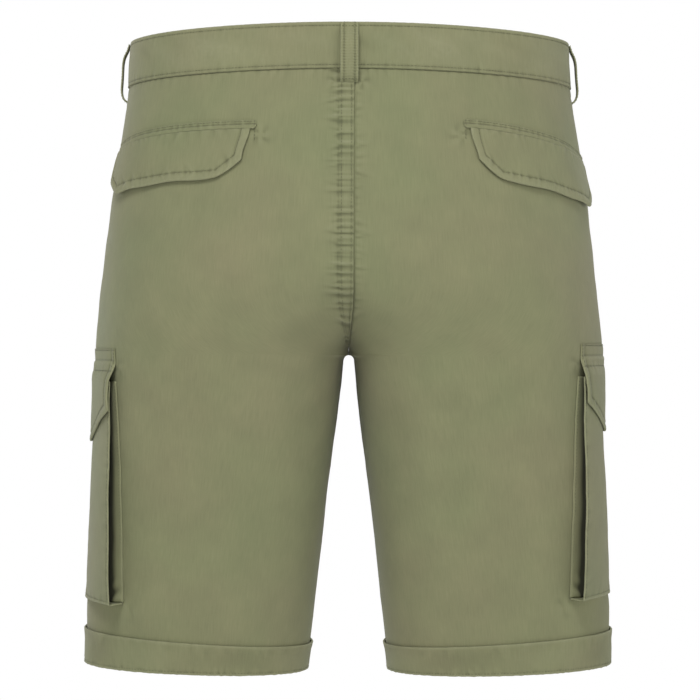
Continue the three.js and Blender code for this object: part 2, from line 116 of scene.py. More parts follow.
def ridge_wear_and_trough_shade(relief: Array) -> Array:
    """Wear and painted shade that go with fine form: ridges are rubbed pale, and troughs get painted shade,
    below 0.
    """
    return np.clip(0.75 * relief, -0.5, 0.75)


def unit(v: Array) -> Array:
    """Scales vectors in the last axis to length 1."""
    return v / np.maximum(np.linalg.norm(v, axis=-1, keepdims=True), 1e-9)


def distances(line: Array) -> Array:
    """How far each point of a line is from its start, along it."""
    return np.concatenate([[0], np.linalg.norm(np.diff(line, axis=0), axis=-1).cumsum()])


def graded(length: float, fine: float, coarse: float, near_start: float, near_end: float) -> Array:
    """Stops from 0 to 1 along a length, close together near its two ends.

    Args:
        length: The length that the stops divide, in millimetres.
        fine: Spacing near the ends.
        coarse: Spacing between them.
        near_start: How far the fine spacing reaches from the start.
        near_end: How far it reaches from the end.

    Returns:
        The stops, as shares of the length.
    """
    x, stops = 0.0, [0.0]
    while x < length:
        edge = max(near_start - x, near_end - (length - x), -12 * fine)
        x += fine if edge >= 0 else mix(coarse, fine, max(0.0, 1 + edge / (12 * fine)))
        stops.append(x)
    return np.array(stops) / stops[-1]


@dataclass(frozen=True)
class Puckers:
    """Small ridges that run away from a sewn line, unevenly spaced, each with a trough beside it.

    Lengths are in millimetres. Each ridge has its own height, reach and lean, from the seed.
    """

    length: float
    pitch: float
    height: float
    width: float
    reach: float
    lean: float
    seed: int
    trough: float = 0.7
    trough_away: float = 1.9

    def relief(self, along: Array, away: Array) -> Array:
        """Height of the ridges.

        Args:
            along: Distance along the sewn line.
            away: Distance from it.

        Returns:
            The height at each place.
        """
        rng = np.random.default_rng(self.seed)
        count = max(1, int(self.length / self.pitch))
        total = np.zeros(np.broadcast(along, away).shape)
        for i in range(count):
            at = (i + rng.uniform(-0.4, 0.4)) * self.pitch
            high = self.height * rng.uniform(0.25, 1)
            far = self.reach * rng.uniform(0.35, 1)
            slant = self.lean * rng.uniform(-1, 1)
            wide = self.width * rng.uniform(0.75, 1.3)
            place = along - slant * away - at
            trough = self.trough * ridge(place, self.trough_away * wide, wide)
            total += high * (ridge(place, 0, wide) - trough) * ridge(away, 0, far)
        return total


@dataclass(frozen=True)
class Crease:
    """A soft trough or ridge between two places, each an arc and a height."""

    side: Side
    start: tuple[float, float]
    end: tuple[float, float]
    width: float
    depth: float
    bow: float = 0.0

    def relief(self, side: Array | int, arc: Array, z: Array) -> Array:
        """Height of the crease, below 0 in a trough.

        Args:
            side: Sign of the wearer's side at each place.
            arc: Arc of each place.
            z: Height of each place.

        Returns:
            The relief at each place.
        """
        run = np.subtract(self.end, self.start)
        length = math.hypot(*run)
        along = ((arc - self.start[0]) * run[0] + (z - self.start[1]) * run[1]) / length**2
        across = ((z - self.start[1]) * run[0] - (arc - self.start[0]) * run[1]) / length
        t = np.clip(along, 0, 1)
        bent = across - self.bow * 4 * t * (1 - t)
        fade = (4 * t * (1 - t)) ** 0.8
        return self.depth * fade * ridge(bent, 0, self.width) * (side == self.side.value)


MAIN_CREASES = (
    Crease(Side.LEFT, (150, -150), (235, -330), 26, -1.5, 12),
    Crease(Side.LEFT, (215, -120), (290, -235), 24, 1.0, -8),
    Crease(Side.LEFT, (120, -300), (170, -470), 30, -1.3, -10),
    Crease(Side.LEFT, (75, -215), (110, -400), 22, 1.2, 6),
    Crease(Side.LEFT, (230, -330), (190, -480), 24, 1.1, 8),
    Crease(Side.LEFT, (60, -112), (165, -135), 16, -0.8, -6),
    Crease(Side.RIGHT, (205, -120), (275, -250), 26, -1.3, 10),
    Crease(Side.RIGHT, (240, -250), (215, -400), 22, 1.5, -8),
    Crease(Side.RIGHT, (150, -210), (120, -400), 28, -1.2, 12),
    Crease(Side.RIGHT, (85, -290), (105, -450), 22, 1.2, -6),
    Crease(Side.RIGHT, (175, -330), (205, -470), 26, -1.0, 8),
    Crease(Side.RIGHT, (55, -115), (150, -150), 15, -0.7, 6),
    Crease(Side.LEFT, (-150, -120), (-235, -270), 26, -1.3, -10),
    Crease(Side.LEFT, (-205, -175), (-120, -300), 24, -1.1, 9),
    Crease(Side.LEFT, (-100, -300), (-150, -460), 26, 1.2, 8),
    Crease(Side.RIGHT, (-140, -110), (-230, -260), 24, -1.2, -9),
    Crease(Side.RIGHT, (-215, -190), (-130, -320), 26, -1.2, 10),
    Crease(Side.RIGHT, (-110, -310), (-160, -465), 28, 1.1, -8),
)


@dataclass(frozen=True)
class SoftSwells:
    """Waves in all directions that keep large stretches of cloth from looking ruled."""

    wavelength: float
    height: float
    count: int
    seed: int

    def relief(self, point: Array) -> Array:
        """Height of the waves at points in space.

        Args:
            point: The points.

        Returns:
            The relief at each point.
        """
        rng = np.random.default_rng(self.seed)
        total = np.zeros(point.shape[:-1])
        for _ in range(self.count):
            direction = unit(rng.normal(size=3)) * 2 * np.pi / (self.wavelength * rng.uniform(0.7, 1.5))
            total += np.sin(point @ direction + rng.uniform(0, 2 * np.pi))
        return self.height * total / math.sqrt(self.count)


SWELLS = (SoftSwells(95, 0.55, 10, 3), SoftSwells(34, 0.16, 12, 8), SoftSwells(13, 0.04, 14, 21))


@dataclass(frozen=True)
class Starfold:
    """Short folds that spread over a panel from a strained point of a seam.

    The point is away from the middle of the back, or from the side seam.
    """

    side: Side
    away: float
    z: float
    from_side: bool = False
    reach: float = 9
    height: float = 0.7
    folds: int = 5
    turn: float = 0.0

    def relief(self, side: Side, run: Array, middle: Array, z: Array) -> Array:
        """Height of the folds.

        Args:
            side: The panel's side.
            run: Distance from the side seam.
            middle: Distance from the middle.
            z: Height.

        Returns:
            The relief at each place.
        """
        if side is not self.side:
            return np.zeros(z.shape)
        dx, dz = (run if self.from_side else middle) - self.away, z - self.z
        r = np.hypot(dx, dz)
        waves = np.sin(self.folds * np.arctan2(dz, dx) + self.turn + r / 5)
        return self.height * waves * ridge(r, self.reach / 2, self.reach / 2)


STARFOLDS = (
    Starfold(Side.LEFT, 70, -66, height=0.4, folds=4, turn=0.5),
    Starfold(Side.RIGHT, 88, -65, height=0.35, folds=4, turn=2.0),
    Starfold(Side.LEFT, 12, -24, reach=7, height=0.3, folds=3, turn=1.0),
    Starfold(Side.RIGHT, 10, -24, reach=7, height=0.4, folds=3, turn=2.5),
    Starfold(Side.LEFT, 9, -27, from_side=True, height=0.35, folds=3, turn=0.6),
    Starfold(Side.RIGHT, 9, -27, from_side=True, height=0.3, folds=3, turn=3.0),
    Starfold(Side.LEFT, 90, -250, from_side=True, height=0.3, folds=3),
    Starfold(Side.RIGHT, 93, -245, from_side=True, height=0.3, folds=3, turn=1.4),
    Starfold(Side.LEFT, 88, -444, from_side=True, height=0.3, folds=3, turn=0.8),
    Starfold(Side.RIGHT, 90, -439, from_side=True, height=0.3, folds=3, turn=2.2),
)


@dataclass
class BodyForm:
    """The surface that the cloth lies on: the body, the legs, and the gap between them.

    Each row of sections is a height, the reach to the side seam, the depth forward and back, and
    how square the outer and inner side of the section are, 2 being an ellipse. The creases are
    calm near the waist and the hem, and the leg is pressed in under the cargo pockets.
    """

    sections: tuple[tuple[float, ...], ...] = (
        (24, 180, 117, 121, 2.2, 2.2),
        (-18, 182.3, 120, 126, 2.2, 2.3),
        (-60, 188.8, 124, 135, 2.2, 2.5),
        (-110, 196.5, 126, 143, 2.2, 2.8),
        (-160, 202.3, 125, 144, 2.15, 3),
        (-200, 206.4, 121, 137, 2.1, 3),
        (-238, 209.3, 115, 126, 2.1, 2.9),
        (-300, 210.6, 106, 111, 2.1, 2.6),
        (-360, 213.2, 99, 100, 2.1, 2.4),
        (-430, 215.9, 92, 90, 2.1, 2.3),
        (-500, 216.5, 87, 82, 2.1, 2.2),
    )
    crotch_z: float = -238.5
    split_height: float = 150
    arch_radius: float = 4
    leg_spread: float = 0.116
    back_rises: float = 5
    front_drops: float = 22
    band_height: float = 36
    calm_waist_z: tuple[float, float] = (-30, -75)
    calm_hem_z: tuple[float, float] = (-500, -470)
    calm_share: float = 0.35
    pocket_reach: float = 45
    pocket_foot_z: tuple[float, float] = (-445, -425)
    pocket_top_z: tuple[float, float] = (-232, -250)
    pressed: tuple[float, float] = (0.8, 1.9)
    pressed_z: tuple[float, float] = (-360, -300)
    probe_arc: float = 2
    probe_z: float = 1
    level_step: float = 1
    samples: int = 181

    def __post_init__(self) -> None:
        """Works out the sections once, at close levels, as points evenly spaced along the cloth."""
        arch = self.crotch_z - np.linspace(0, self.arch_radius, 33)
        top, bottom = self.sections[0][0] + 3, self.sections[-1][0] - 3
        self.levels = np.unique(np.concatenate([np.arange(bottom, top, self.level_step), arch]))
        self.totals, self.points = {}, {}
        for back in (False, True):
            self.totals[back], self.points[back] = self.half_sections(back)

    def column(self, index: int, z: Array) -> Array:
        """Reads a column of the section table on a smooth curve through its rows.

        Args:
            index: Number of the column.
            z: Heights.

        Returns:
            The column's value at each height.
        """
        return smooth_table(self.sections, index, z)

    def inner_reach(self, z: Array, outer: Array) -> Array:
        """How far the inner side of a leg is from the middle plane, below 0 above the crotch.

        Args:
            z: Heights.
            outer: Reach to the side seam at each height.

        Returns:
            The distance at each height.
        """
        below = self.crotch_z - z
        merged = ease(-below / self.split_height)
        reach = self.leg_spread * below - (outer - self.leg_spread * self.split_height) * merged
        return np.where(merged >= 1, -outer, reach)

    def half_sections(self, back: bool) -> tuple[Array, Array]:
        """Half of each section, from the side seam to the middle plane or the inseam.

        Args:
            back: Whether it is the back half.

        Returns:
            The length of each half section, and its points.
        """
        z = self.levels[:, None]
        outer, deep = self.column(1, z), self.column(3 if back else 2, z)
        round_out, round_in = self.column(4, z), self.column(5, z)
        inner = self.inner_reach(z, outer)
        centre, half = (outer + inner) / 2, (outer - inner) / 2
        drop = np.clip((self.crotch_z - z) / self.arch_radius, 0, 1)
        cut = self.arch_radius * np.sqrt(drop * (2 - drop))
        across = np.clip(centre / half, 0, 1)
        rise = deep * np.maximum(0, 1 - across**round_in) ** (1 / round_in)
        end = np.where(inner < 0, np.arctan2(rise, -centre), np.pi)
        angle = end * np.linspace(0, 1, 361)
        c, s = np.cos(angle), np.sin(angle)
        n = np.where(c > 0, round_out, round_in)
        wide = half - cut * np.maximum(0, -c) ** 3
        r = ((np.abs(c) / wide) ** n + (np.abs(s) / deep) ** n) ** (-1 / n)
        xy = np.stack([centre + r * c, (1 if back else -1) * r * s], -1)
        lengths = np.linalg.norm(np.diff(xy, axis=1), axis=-1).cumsum(1)
        lengths = np.concatenate([np.zeros_like(lengths[:, :1]), lengths], 1)
        shares = np.linspace(0, 1, self.samples)
        even = np.empty((len(self.levels), self.samples, 2))
        for i, run in enumerate(lengths):
            for k in (0, 1):
                even[i, :, k] = np.interp(shares * run[-1], run, xy[i, :, k])
        return lengths[:, -1], even

    def girth(self, z: Array, back: Array | bool) -> Array:
        """Length of cloth at a height from the side seam to the middle plane or the inseam.

        Args:
            z: Heights.
            back: Whether it is the back.

        Returns:
            The length at each height.
        """
        behind = np.interp(z, self.levels, self.totals[True])
        before = np.interp(z, self.levels, self.totals[False])
        return np.where(back, behind, before)

    def surface(self, side: Array | int, z: Array, arc: Array) -> Array:
        """Points of the surface. An arc past the middle plane carries on round the other half.

        Args:
            side: Sign of the wearer's side.
            z: Heights.
            arc: Arcs from the side seam.

        Returns:
            The points, in the last axis.
        """
        side, z, arc = np.broadcast_arrays(side, z, arc)
        level = np.clip(np.searchsorted(self.levels, z) - 1, 0, len(self.levels) - 2)
        f = (z - self.levels[level]) / (self.levels[level + 1] - self.levels[level])
        total = self.girth(z, arc >= 0)
        past = np.abs(arc) > total
        share = np.clip(np.where(past, 2 * total - np.abs(arc), np.abs(arc)) / total, 0, 1)
        spot = share * (self.samples - 1)
        j = np.clip(spot.astype(int), 0, self.samples - 2)
        g = (spot - j)[..., None]
        f = f[..., None]
        halves = []
        for back in (False, True):
            points = self.points[back]
            low = mix(points[level, j], points[level, j + 1], g)
            high = mix(points[level + 1, j], points[level + 1, j + 1], g)
            halves.append(mix(low, high, f))
        xy = np.where((arc >= 0)[..., None], halves[1], halves[0])
        return np.stack([side * np.where(past, -1, 1) * xy[..., 0], xy[..., 1], z], -1)

    def outward(self, side: Array | int, z: Array, arc: Array) -> Array:
        """Directions that point out of the surface.

        Args:
            side: Sign of the wearer's side.
            z: Heights.
            arc: Arcs from the side seam.

        Returns:
            The directions.
        """
        side, z, arc = np.broadcast_arrays(side, z, arc)
        back = arc >= 0
        limit = self.girth(z, back)
        free = (np.abs(arc) > limit) | (z > self.crotch_z + self.split_height)
        ahead = np.where(free, arc + self.probe_arc, np.minimum(arc + self.probe_arc, limit))
        behind = np.where(free, arc - self.probe_arc, np.maximum(arc - self.probe_arc, -limit))
        along = self.surface(side, z, ahead) - self.surface(side, z, behind)
        above = z > self.crotch_z
        highest = np.where(above, z + self.probe_z, np.minimum(z + self.probe_z, self.crotch_z))
        lowest = np.where(above, np.maximum(z - self.probe_z, self.crotch_z), z - self.probe_z)
        reach = np.minimum(self.girth(highest, back), self.girth(lowest, back))
        reach = np.where(free, 1e9, reach)
        level = np.clip(arc, -reach, reach)
        up = self.surface(side, highest, level) - self.surface(side, lowest, level)
        return unit(np.cross(along, up) * side[..., None])

    def softness(self, side: Array | int, z: Array, arc: Array, base: Array) -> Array:
        """The broad creases and swells that the panels and all that lies on them share.

        Args:
            side: Sign of the wearer's side.
            z: Heights.
            arc: Arcs from the side seam.
            base: Points of the bare surface there.

        Returns:
            The relief at each place.
        """
        total = sum(crease.relief(side, arc, z) for crease in MAIN_CREASES)
        total = total + sum(swells.relief(base) for swells in SWELLS)
        calm = ramp(z, *self.calm_waist_z) * ramp(z, *self.calm_hem_z)
        pocket = ridge(arc, 0, self.pocket_reach) * ramp(z, *self.pocket_foot_z) * ramp(z, *self.pocket_top_z)
        pressed = pocket * mix(*self.pressed, ramp(z, *self.pressed_z))
        return total * mix(self.calm_share, 1, calm) - pressed

    def place(self, side: Array | int, z: Array, arc: Array, lift: Array) -> tuple[Array, Array]:
        """Points lifted off the surface, with the outward direction at each.

        Args:
            side: Sign of the wearer's side.
            z: Heights.
            arc: Arcs from the side seam.
            lift: Distance off the surface.

        Returns:
            The points and the directions.
        """
        side, z, arc, lift = np.broadcast_arrays(side, z, arc, lift)
        base = self.surface(side, z, arc)
        normal = self.outward(side, z, arc)
        high = lift + self.softness(side, z, arc, base)
        return base + normal * high[..., None], normal

    def waist_line(self, z: Array | float, share: Array | float, back: Array | bool) -> Array:
        """Height of a line level with the waist seam, at a share of the way to the middle."""
        return z + np.where(back, self.back_rises, -self.front_drops) * swell(share)


def smooth_table(rows: tuple[tuple[float, ...], ...], index: int, z: Array) -> Array:
    """Reads a column of a table at heights, on a smooth curve through its rows.

    Args:
        rows: Rows that start with their height, the highest first.
        index: Number of the column.
        z: Heights.

    Returns:
        The column's value at each height.
    """
    table = np.array(rows, float)
    heights, values = table[:, 0], table[:, index]
    last = len(heights) - 1
    k = np.arange(len(heights))
    before, after = np.maximum(k - 1, 0), np.minimum(k + 1, last)
    slope = (values[after] - values[before]) / (heights[after] - heights[before])
    z = np.clip(z, heights[-1], heights[0])
    i = np.clip(np.searchsorted(-heights, -z) - 1, 0, last - 1)
    run = heights[i + 1] - heights[i]
    t = (z - heights[i]) / run
    bend = t * (1 - t) ** 2 * slope[i] - t**2 * (1 - t) * slope[i + 1]
    return mix(values[i], values[i + 1], ease(t)) + run * bend


@dataclass
class ClothMesh:
    """A closed wall of cloth between an outer and an inner grid of points, rows by columns.

    rim is how far each border is rounded out, in half thicknesses: first row, first column, last
    row, last column. A ring joins its last column to its first.
    """

    outer: Array
    inner: Array
    wear_and_shade: Array
    # At each grid point: pale wear above 0, and painted shade below 0.
    rim: tuple[float, float, float, float] = (0.8, 0.8, 0.8, 0.8)
    ring: bool = False
    rim_steps: int = 3

    def border(self) -> list[tuple[Array, Array, bool]]:
        """The borders as runs of grid indices, with each one's rounding and direction.

        Returns:
            For each closed run: indices, rounding at each, and whether it runs backwards.
        """
        rows, columns = self.outer.shape[:2]
        index = np.arange(rows * columns).reshape(rows, columns)
        if self.ring:
            top, bottom = index[0], index[-1]
            above, below = np.full(columns, self.rim[0]), np.full(columns, self.rim[2])
            return [(top, above, True), (bottom, below, False)]
        sides = (index[:-1, 0], index[-1, :-1], index[:0:-1, -1], index[0, :0:-1])
        order = (1, 2, 3, 0)
        reach = [np.full(len(run), self.rim[k]) for run, k in zip(sides, order)]
        return [(np.concatenate(sides), np.concatenate(reach), False)]

    def rim_points(self, run: Array, reach: Array) -> Array:
        """Points that round a border from the outer grid to the inner one.

        Args:
            run: Grid indices along the border.
            reach: Rounding at each.

        Returns:
            The points, steps by places.
        """
        rows, columns = self.outer.shape[:2]
        r, c = run // columns, run % columns
        inside_r = np.clip(r, 1, rows - 2)
        inside_c = c if self.ring else np.clip(c, 1, columns - 2)
        middle = (self.outer + self.inner) / 2
        here = middle[r, c]
        away = unit(here - middle[inside_r, inside_c])
        half = (self.outer[r, c] - self.inner[r, c]) / 2
        thick = np.linalg.norm(half, axis=-1, keepdims=True)
        angles = np.linspace(0, np.pi, self.rim_steps + 2)[1:-1]
        bulge = away * thick * reach[:, None]
        return np.stack([here + half * math.cos(a) + bulge * math.sin(a) for a in angles])

    def faces(self, offset: int) -> tuple[Array, list[Array]]:
        """The four-sided faces of the wall.

        Args:
            offset: Number of points in each grid.

        Returns:
            The faces of both grids and the rims, and the rims' points.
        """
        rows, columns = self.outer.shape[:2]
        index = np.arange(rows * columns).reshape(rows, columns)
        if self.ring:
            index = np.concatenate([index, index[:, :1]], 1)
        a, b, c, d = index[:-1, :-1], index[1:, :-1], index[1:, 1:], index[:-1, 1:]
        skins = [np.stack([a, b, c, d], -1), np.stack([a, d, c, b], -1) + offset]
        faces = [skin.reshape(-1, 4) for skin in skins]
        rims, first = [], 2 * offset
        for run, reach, backwards in self.border():
            rim = self.rim_points(run, reach)
            chain = [run]
            for k in range(len(rim)):
                chain.append(first + k * len(run) + np.arange(len(run)))
            chain.append(run + offset)
            for upper, lower in zip(chain, chain[1:]):
                ahead, below = np.roll(upper, -1), np.roll(lower, -1)
                quad = [upper, ahead, below, lower] if backwards else [ahead, upper, lower, below]
                faces.append(np.stack(quad, -1))
            rims.append(rim.reshape(-1, 3))
            first += len(run) * len(rim)
        return np.concatenate(faces), rims

    def make(self, name: str) -> bpy.types.Object:
        """Makes the object, with its cloth coordinates, and its pale wear and painted shade.

        Args:
            name: The object's name.

        Returns:
            The new object.
        """
        offset = self.outer.shape[0] * self.outer.shape[1]
        faces, rims = self.faces(offset)
        points = np.concatenate([self.outer.reshape(-1, 3), self.inner.reshape(-1, 3), *rims])
        across = np.linalg.norm(np.diff(self.outer, axis=1), axis=-1).mean(0)
        down = np.linalg.norm(np.diff(self.outer, axis=0), axis=-1).mean(1)
        u = np.concatenate([[0], across.cumsum()])
        v = np.concatenate([[0], down.cumsum()])
        grid_uv = np.stack(np.meshgrid(u, -v), -1).reshape(-1, 2)
        rim_index = [np.tile(run, self.rim_steps) for run, _, _ in self.border()]
        uv = np.concatenate([grid_uv, grid_uv, *[grid_uv[i] for i in rim_index]])
        wear_and_shade = self.wear_and_shade.reshape(-1)
        rim_wear = [np.clip(wear_and_shade[i] + 0.25, 0, 1) for i in rim_index]
        wear_and_shade = np.concatenate([wear_and_shade, np.zeros(offset), *rim_wear])
        p = points[faces]
        volume = np.einsum("ij,ij->i", p[:, 0], np.cross(p[:, 1] - p[:, 0], p[:, 2] - p[:, 0])).sum()
        volume += np.einsum("ij,ij->i", p[:, 0], np.cross(p[:, 2] - p[:, 0], p[:, 3] - p[:, 0])).sum()
        if volume < 0:
            faces = faces[:, ::-1]
        mesh = new_mesh(name, points * MM, faces)
        layer = mesh.uv_layers.new(name="cloth")
        layer.data.foreach_set("uv", (uv[faces.reshape(-1)] * MM).astype(np.float32).ravel())
        # The attribute carries pale wear above 0, and painted shade below 0.
        attribute = mesh.attributes.new("wear_and_shade", "FLOAT", "POINT")
        attribute.data.foreach_set("value", wear_and_shade.astype(np.float32))
        return new_object(name, mesh)

    def flat(self) -> tuple[float, float, float]:
        """Width, length and area of the cut, in metres and square metres.

        Returns:
            The three sizes.
        """
        grid = self.outer
        if self.ring:
            grid = np.concatenate([grid, grid[:, :1]], 1)
        width = np.linalg.norm(np.diff(grid, axis=1), axis=-1).sum(1).max() * MM
        length = np.linalg.norm(np.diff(grid, axis=0), axis=-1).sum(0).max() * MM
        a, b = grid[1:, 1:] - grid[:-1, :-1], grid[1:, :-1] - grid[:-1, 1:]
        area = np.linalg.norm(np.cross(a, b), axis=-1).sum() / 2 * MM * MM
        return width, length, min(area, width * length)


def new_mesh(name: str, points: Array, faces: Array) -> bpy.types.Mesh:
    """Makes a smooth mesh.

    Args:
        name: The mesh's name.
        points: Its points, in metres.
        faces: Four point numbers a face.

    Returns:
        The new mesh.
    """
    mesh = bpy.data.meshes.new(name)
    mesh.vertices.add(len(points))
    mesh.vertices.foreach_set("co", points.astype(np.float32).ravel())
    mesh.loops.add(faces.size)
    mesh.loops.foreach_set("vertex_index", faces.astype(np.int32).ravel())
    mesh.polygons.add(len(faces))
    mesh.polygons.foreach_set("loop_start", np.arange(0, faces.size, 4, dtype=np.int32))
    mesh.update(calc_edges=True)
    mesh.validate()
    mesh.shade_smooth()
    return mesh


def new_object(name: str, data: bpy.types.ID) -> bpy.types.Object:
    """Links a new object to the scene.

    Args:
        name: The object's name.
        data: What it shows, such as its mesh.

    Returns:
        The new object.
    """
    made = bpy.data.objects.new(name, data)
    bpy.context.scene.collection.objects.link(made)
    return made


def as_mesh(carrier: bpy.types.Object, *others: bpy.types.Object) -> bpy.types.Mesh:
    """Turns an object, as its modifiers leave it, into a plain mesh, and removes the object.

    Args:
        carrier: The object.
        *others: Objects that only it needed, which go too.

    Returns:
        The mesh.
    """
    graph = bpy.context.evaluated_depsgraph_get()
    mesh = bpy.data.meshes.new_from_object(carrier.evaluated_get(graph))
    for spent in (*others, carrier):
        bpy.data.objects.remove(spent)
    return mesh


class Wiring:
    """Adds nodes to a tree and joins them."""

    def __init__(self, tree: bpy.types.NodeTree) -> None:
        """Keeps the tree."""
        self.tree = tree

    def node(self, kind: str, inputs: dict | None = None, **settings: object) -> bpy.types.Node:
        """Adds a node.

        Args:
            kind: The node's type.
            inputs: Values and sockets for its inputs, by name or number.
            **settings: Values of its properties.

        Returns:
            The new node.
        """
        node = self.tree.nodes.new(kind)
        for name, value in settings.items():
            setattr(node, name, value)
        for name, value in (inputs or {}).items():
            if isinstance(value, bpy.types.NodeSocket):
                self.tree.links.new(value, node.inputs[name])
            else:
                node.inputs[name].default_value = value
        return node

    def between(self, value: bpy.types.NodeSocket, low: float, high: float, to_low: float,
                to_high: float) -> bpy.types.NodeSocket:
        """Spreads a value from one range to another.

        Args:
            value: The socket to spread.
            low: Where the first range starts.
            high: Where it ends.
            to_low: Where the second range starts.
            to_high: Where it ends.

        Returns:
            The socket of the result.
        """
        node = self.node("ShaderNodeMapRange", {"Value": value, "From Min": low, "From Max": high,
                                                "To Min": to_low, "To Max": to_high})
        return node.outputs["Result"]

    def blend(self, share: object, a: object, b: object, way: str = "MIX") -> bpy.types.NodeSocket:
        """Blends two colours.

        Args:
            share: Share of the second, a number or a socket.
            a: The first colour, or a socket.
            b: The second.
            way: The blend's type.

        Returns:
            The socket of the result.
        """
        node = self.node("ShaderNodeMix", {0: share, 6: a, 7: b}, data_type="RGBA", blend_type=way)
        return node.outputs[2]


def blank_material(name: str) -> tuple[bpy.types.Material, Wiring, bpy.types.NodeSocket]:
    """Makes a material that has only the piece's own coordinates.

    Args:
        name: The material's name.

    Returns:
        The material, its wiring and the coordinates.
    """
    material = bpy.data.materials.new(name)
    material.use_nodes = True
    material.node_tree.nodes.clear()
    w = Wiring(material.node_tree)
    return material, w, w.node("ShaderNodeTexCoord").outputs["Object"]


@dataclass(frozen=True)
class Cotton:
    """Thin peached cotton: its colours, and the scales of what shows in it."""

    name: str = "olive_cotton_cloth"
    green: tuple[float, float, float, float] = (0.215, 0.233, 0.121, 1)
    brown: tuple[float, float, float, float] = (0.240, 0.230, 0.130, 1)
    faded: tuple[float, float, float, float] = (0.35, 0.355, 0.225, 1)
    yarn: float = 0.55
    roughness: float = 0.86
    sheen: float = 0.12
    sheen_roughness: float = 0.55
    gloss: float = 0.16
    weave_depth: float = 0.06
    crumple_depth: float = 0.35
    fold_shade: float = 0.22
    mottle_scale: float = 9.0
    patch_scale: float = 38.0
    crumple_scale: float = 190.0
    rub_scale: float = 300.0
    slub_scale: tuple[float, float, float] = (1100, 70, 1)
    tone: tuple[float, float] = (0.95, 1.05)
    spread: tuple[float, float] = (0.3, 0.7)

    def material(self) -> bpy.types.Material:
        """Makes the material: weave, slubs, mottling, wear along edges and ridges, and painted shade in troughs
        and folds.

        Returns:
            The material.
        """
        material, w, space = blank_material(self.name)
        cloth = w.node("ShaderNodeUVMap", uv_map="cloth").outputs["UV"]
        mottle = w.node("ShaderNodeTexNoise", {"Vector": space, "Scale": self.mottle_scale, "Detail": 3.0})
        share = w.between(mottle.outputs["Fac"], *self.spread, 0.1, 0.9)
        base = w.blend(share, self.green, self.brown)
        patches = w.node("ShaderNodeTexNoise", {"Vector": space, "Scale": self.patch_scale, "Detail": 4.0})
        patch_tone = w.between(patches.outputs["Fac"], *self.spread, *self.tone)
        base = w.blend(1.0, base, patch_tone, "MULTIPLY")
        along = w.node("ShaderNodeMapping", {"Vector": cloth, "Scale": self.slub_scale})
        slubs = w.node("ShaderNodeTexNoise", {"Vector": along.outputs[0], "Scale": 1.0, "Detail": 2.0})
        slub_tone = w.between(slubs.outputs["Fac"], *self.spread, *self.tone)
        base = w.blend(1.0, base, slub_tone, "MULTIPLY")
        # The attribute: pale wear above 0, and painted shade below 0.
        worn_and_shaded = w.node("ShaderNodeAttribute", attribute_name="wear_and_shade").outputs["Fac"]
        rub = w.node("ShaderNodeTexNoise", {"Vector": space, "Scale": self.rub_scale, "Detail": 2.0})
        rubbed = w.between(rub.outputs["Fac"], 0.25, 0.75, 0.25, 0.6)
        amount = w.node("ShaderNodeMath", {0: worn_and_shaded, 1: rubbed}, operation="MULTIPLY")
        base = w.blend(amount.outputs[0], base, self.faded)
        # Painted shade: the colour is darkened where the attribute is below 0, in folds, grooves and troughs.
        shade = w.between(worn_and_shaded, -1, 0, self.fold_shade, 1)
        base = w.blend(1.0, base, shade, "MULTIPLY")
        scale = 2 * math.pi / (20 * self.yarn * MM)
        waves = []
        for direction in ("X", "Y"):
            wave = w.node("ShaderNodeTexWave", {"Vector": cloth, "Scale": scale, "Distortion": 0.6},
                          bands_direction=direction)
            waves.append(wave.outputs["Fac"])
        weave = w.node("ShaderNodeMath", {0: waves[0], 1: waves[1]}, operation="MULTIPLY")
        crumple = w.node("ShaderNodeTexNoise", {"Vector": space, "Scale": self.crumple_scale, "Detail": 5.0})
        low = w.node("ShaderNodeBump", {"Height": crumple.outputs["Fac"], "Strength": 0.5,
                                        "Distance": self.crumple_depth * MM})
        high = w.node("ShaderNodeBump", {"Height": weave.outputs[0], "Strength": 0.6,
                                         "Distance": self.weave_depth * MM,
                                         "Normal": low.outputs["Normal"]})
        rough = w.between(patches.outputs["Fac"], *self.spread, self.roughness - 0.05, self.roughness + 0.05)
        shader = w.node("ShaderNodeBsdfPrincipled", {
            "Base Color": base, "Roughness": rough, "Normal": high.outputs["Normal"],
            "Sheen Weight": self.sheen, "Sheen Roughness": self.sheen_roughness,
            "Specular IOR Level": self.gloss,
        })
        w.node("ShaderNodeOutputMaterial", {"Surface": shader.outputs[0]})
        return material


@dataclass(frozen=True)
class Thread:
    """Tonal sewing thread: twisted, a little darker than the cloth, with a faint shine."""

    name: str = "olive_thread"
    color: tuple[float, float, float, float] = (0.105, 0.11, 0.06, 1)
    light: tuple[float, float, float, float] = (0.16, 0.165, 0.095, 1)
    twist: float = 0.3

    def material(self) -> bpy.types.Material:
        """Makes the material, with the twist of its plies.

        Returns:
            The material.
        """
        material, w, space = blank_material(self.name)
        twist = w.node("ShaderNodeTexWave", {"Vector": space, "Scale": 2 * math.pi / (10 * self.twist * MM)},
                       bands_direction="DIAGONAL")
        tone = w.node("ShaderNodeTexNoise", {"Vector": space, "Scale": 120.0})
        base = w.blend(tone.outputs["Fac"], self.color, self.light)
        bump = w.node("ShaderNodeBump", {"Height": twist.outputs["Fac"], "Strength": 0.4,
                                         "Distance": 0.08 * MM})
        shader = w.node("ShaderNodeBsdfPrincipled", {"Base Color": base, "Roughness": 0.6,
                                                     "Normal": bump.outputs["Normal"],
                                                     "Specular IOR Level": 0.3})
        w.node("ShaderNodeOutputMaterial", {"Surface": shader.outputs[0]})
        return material


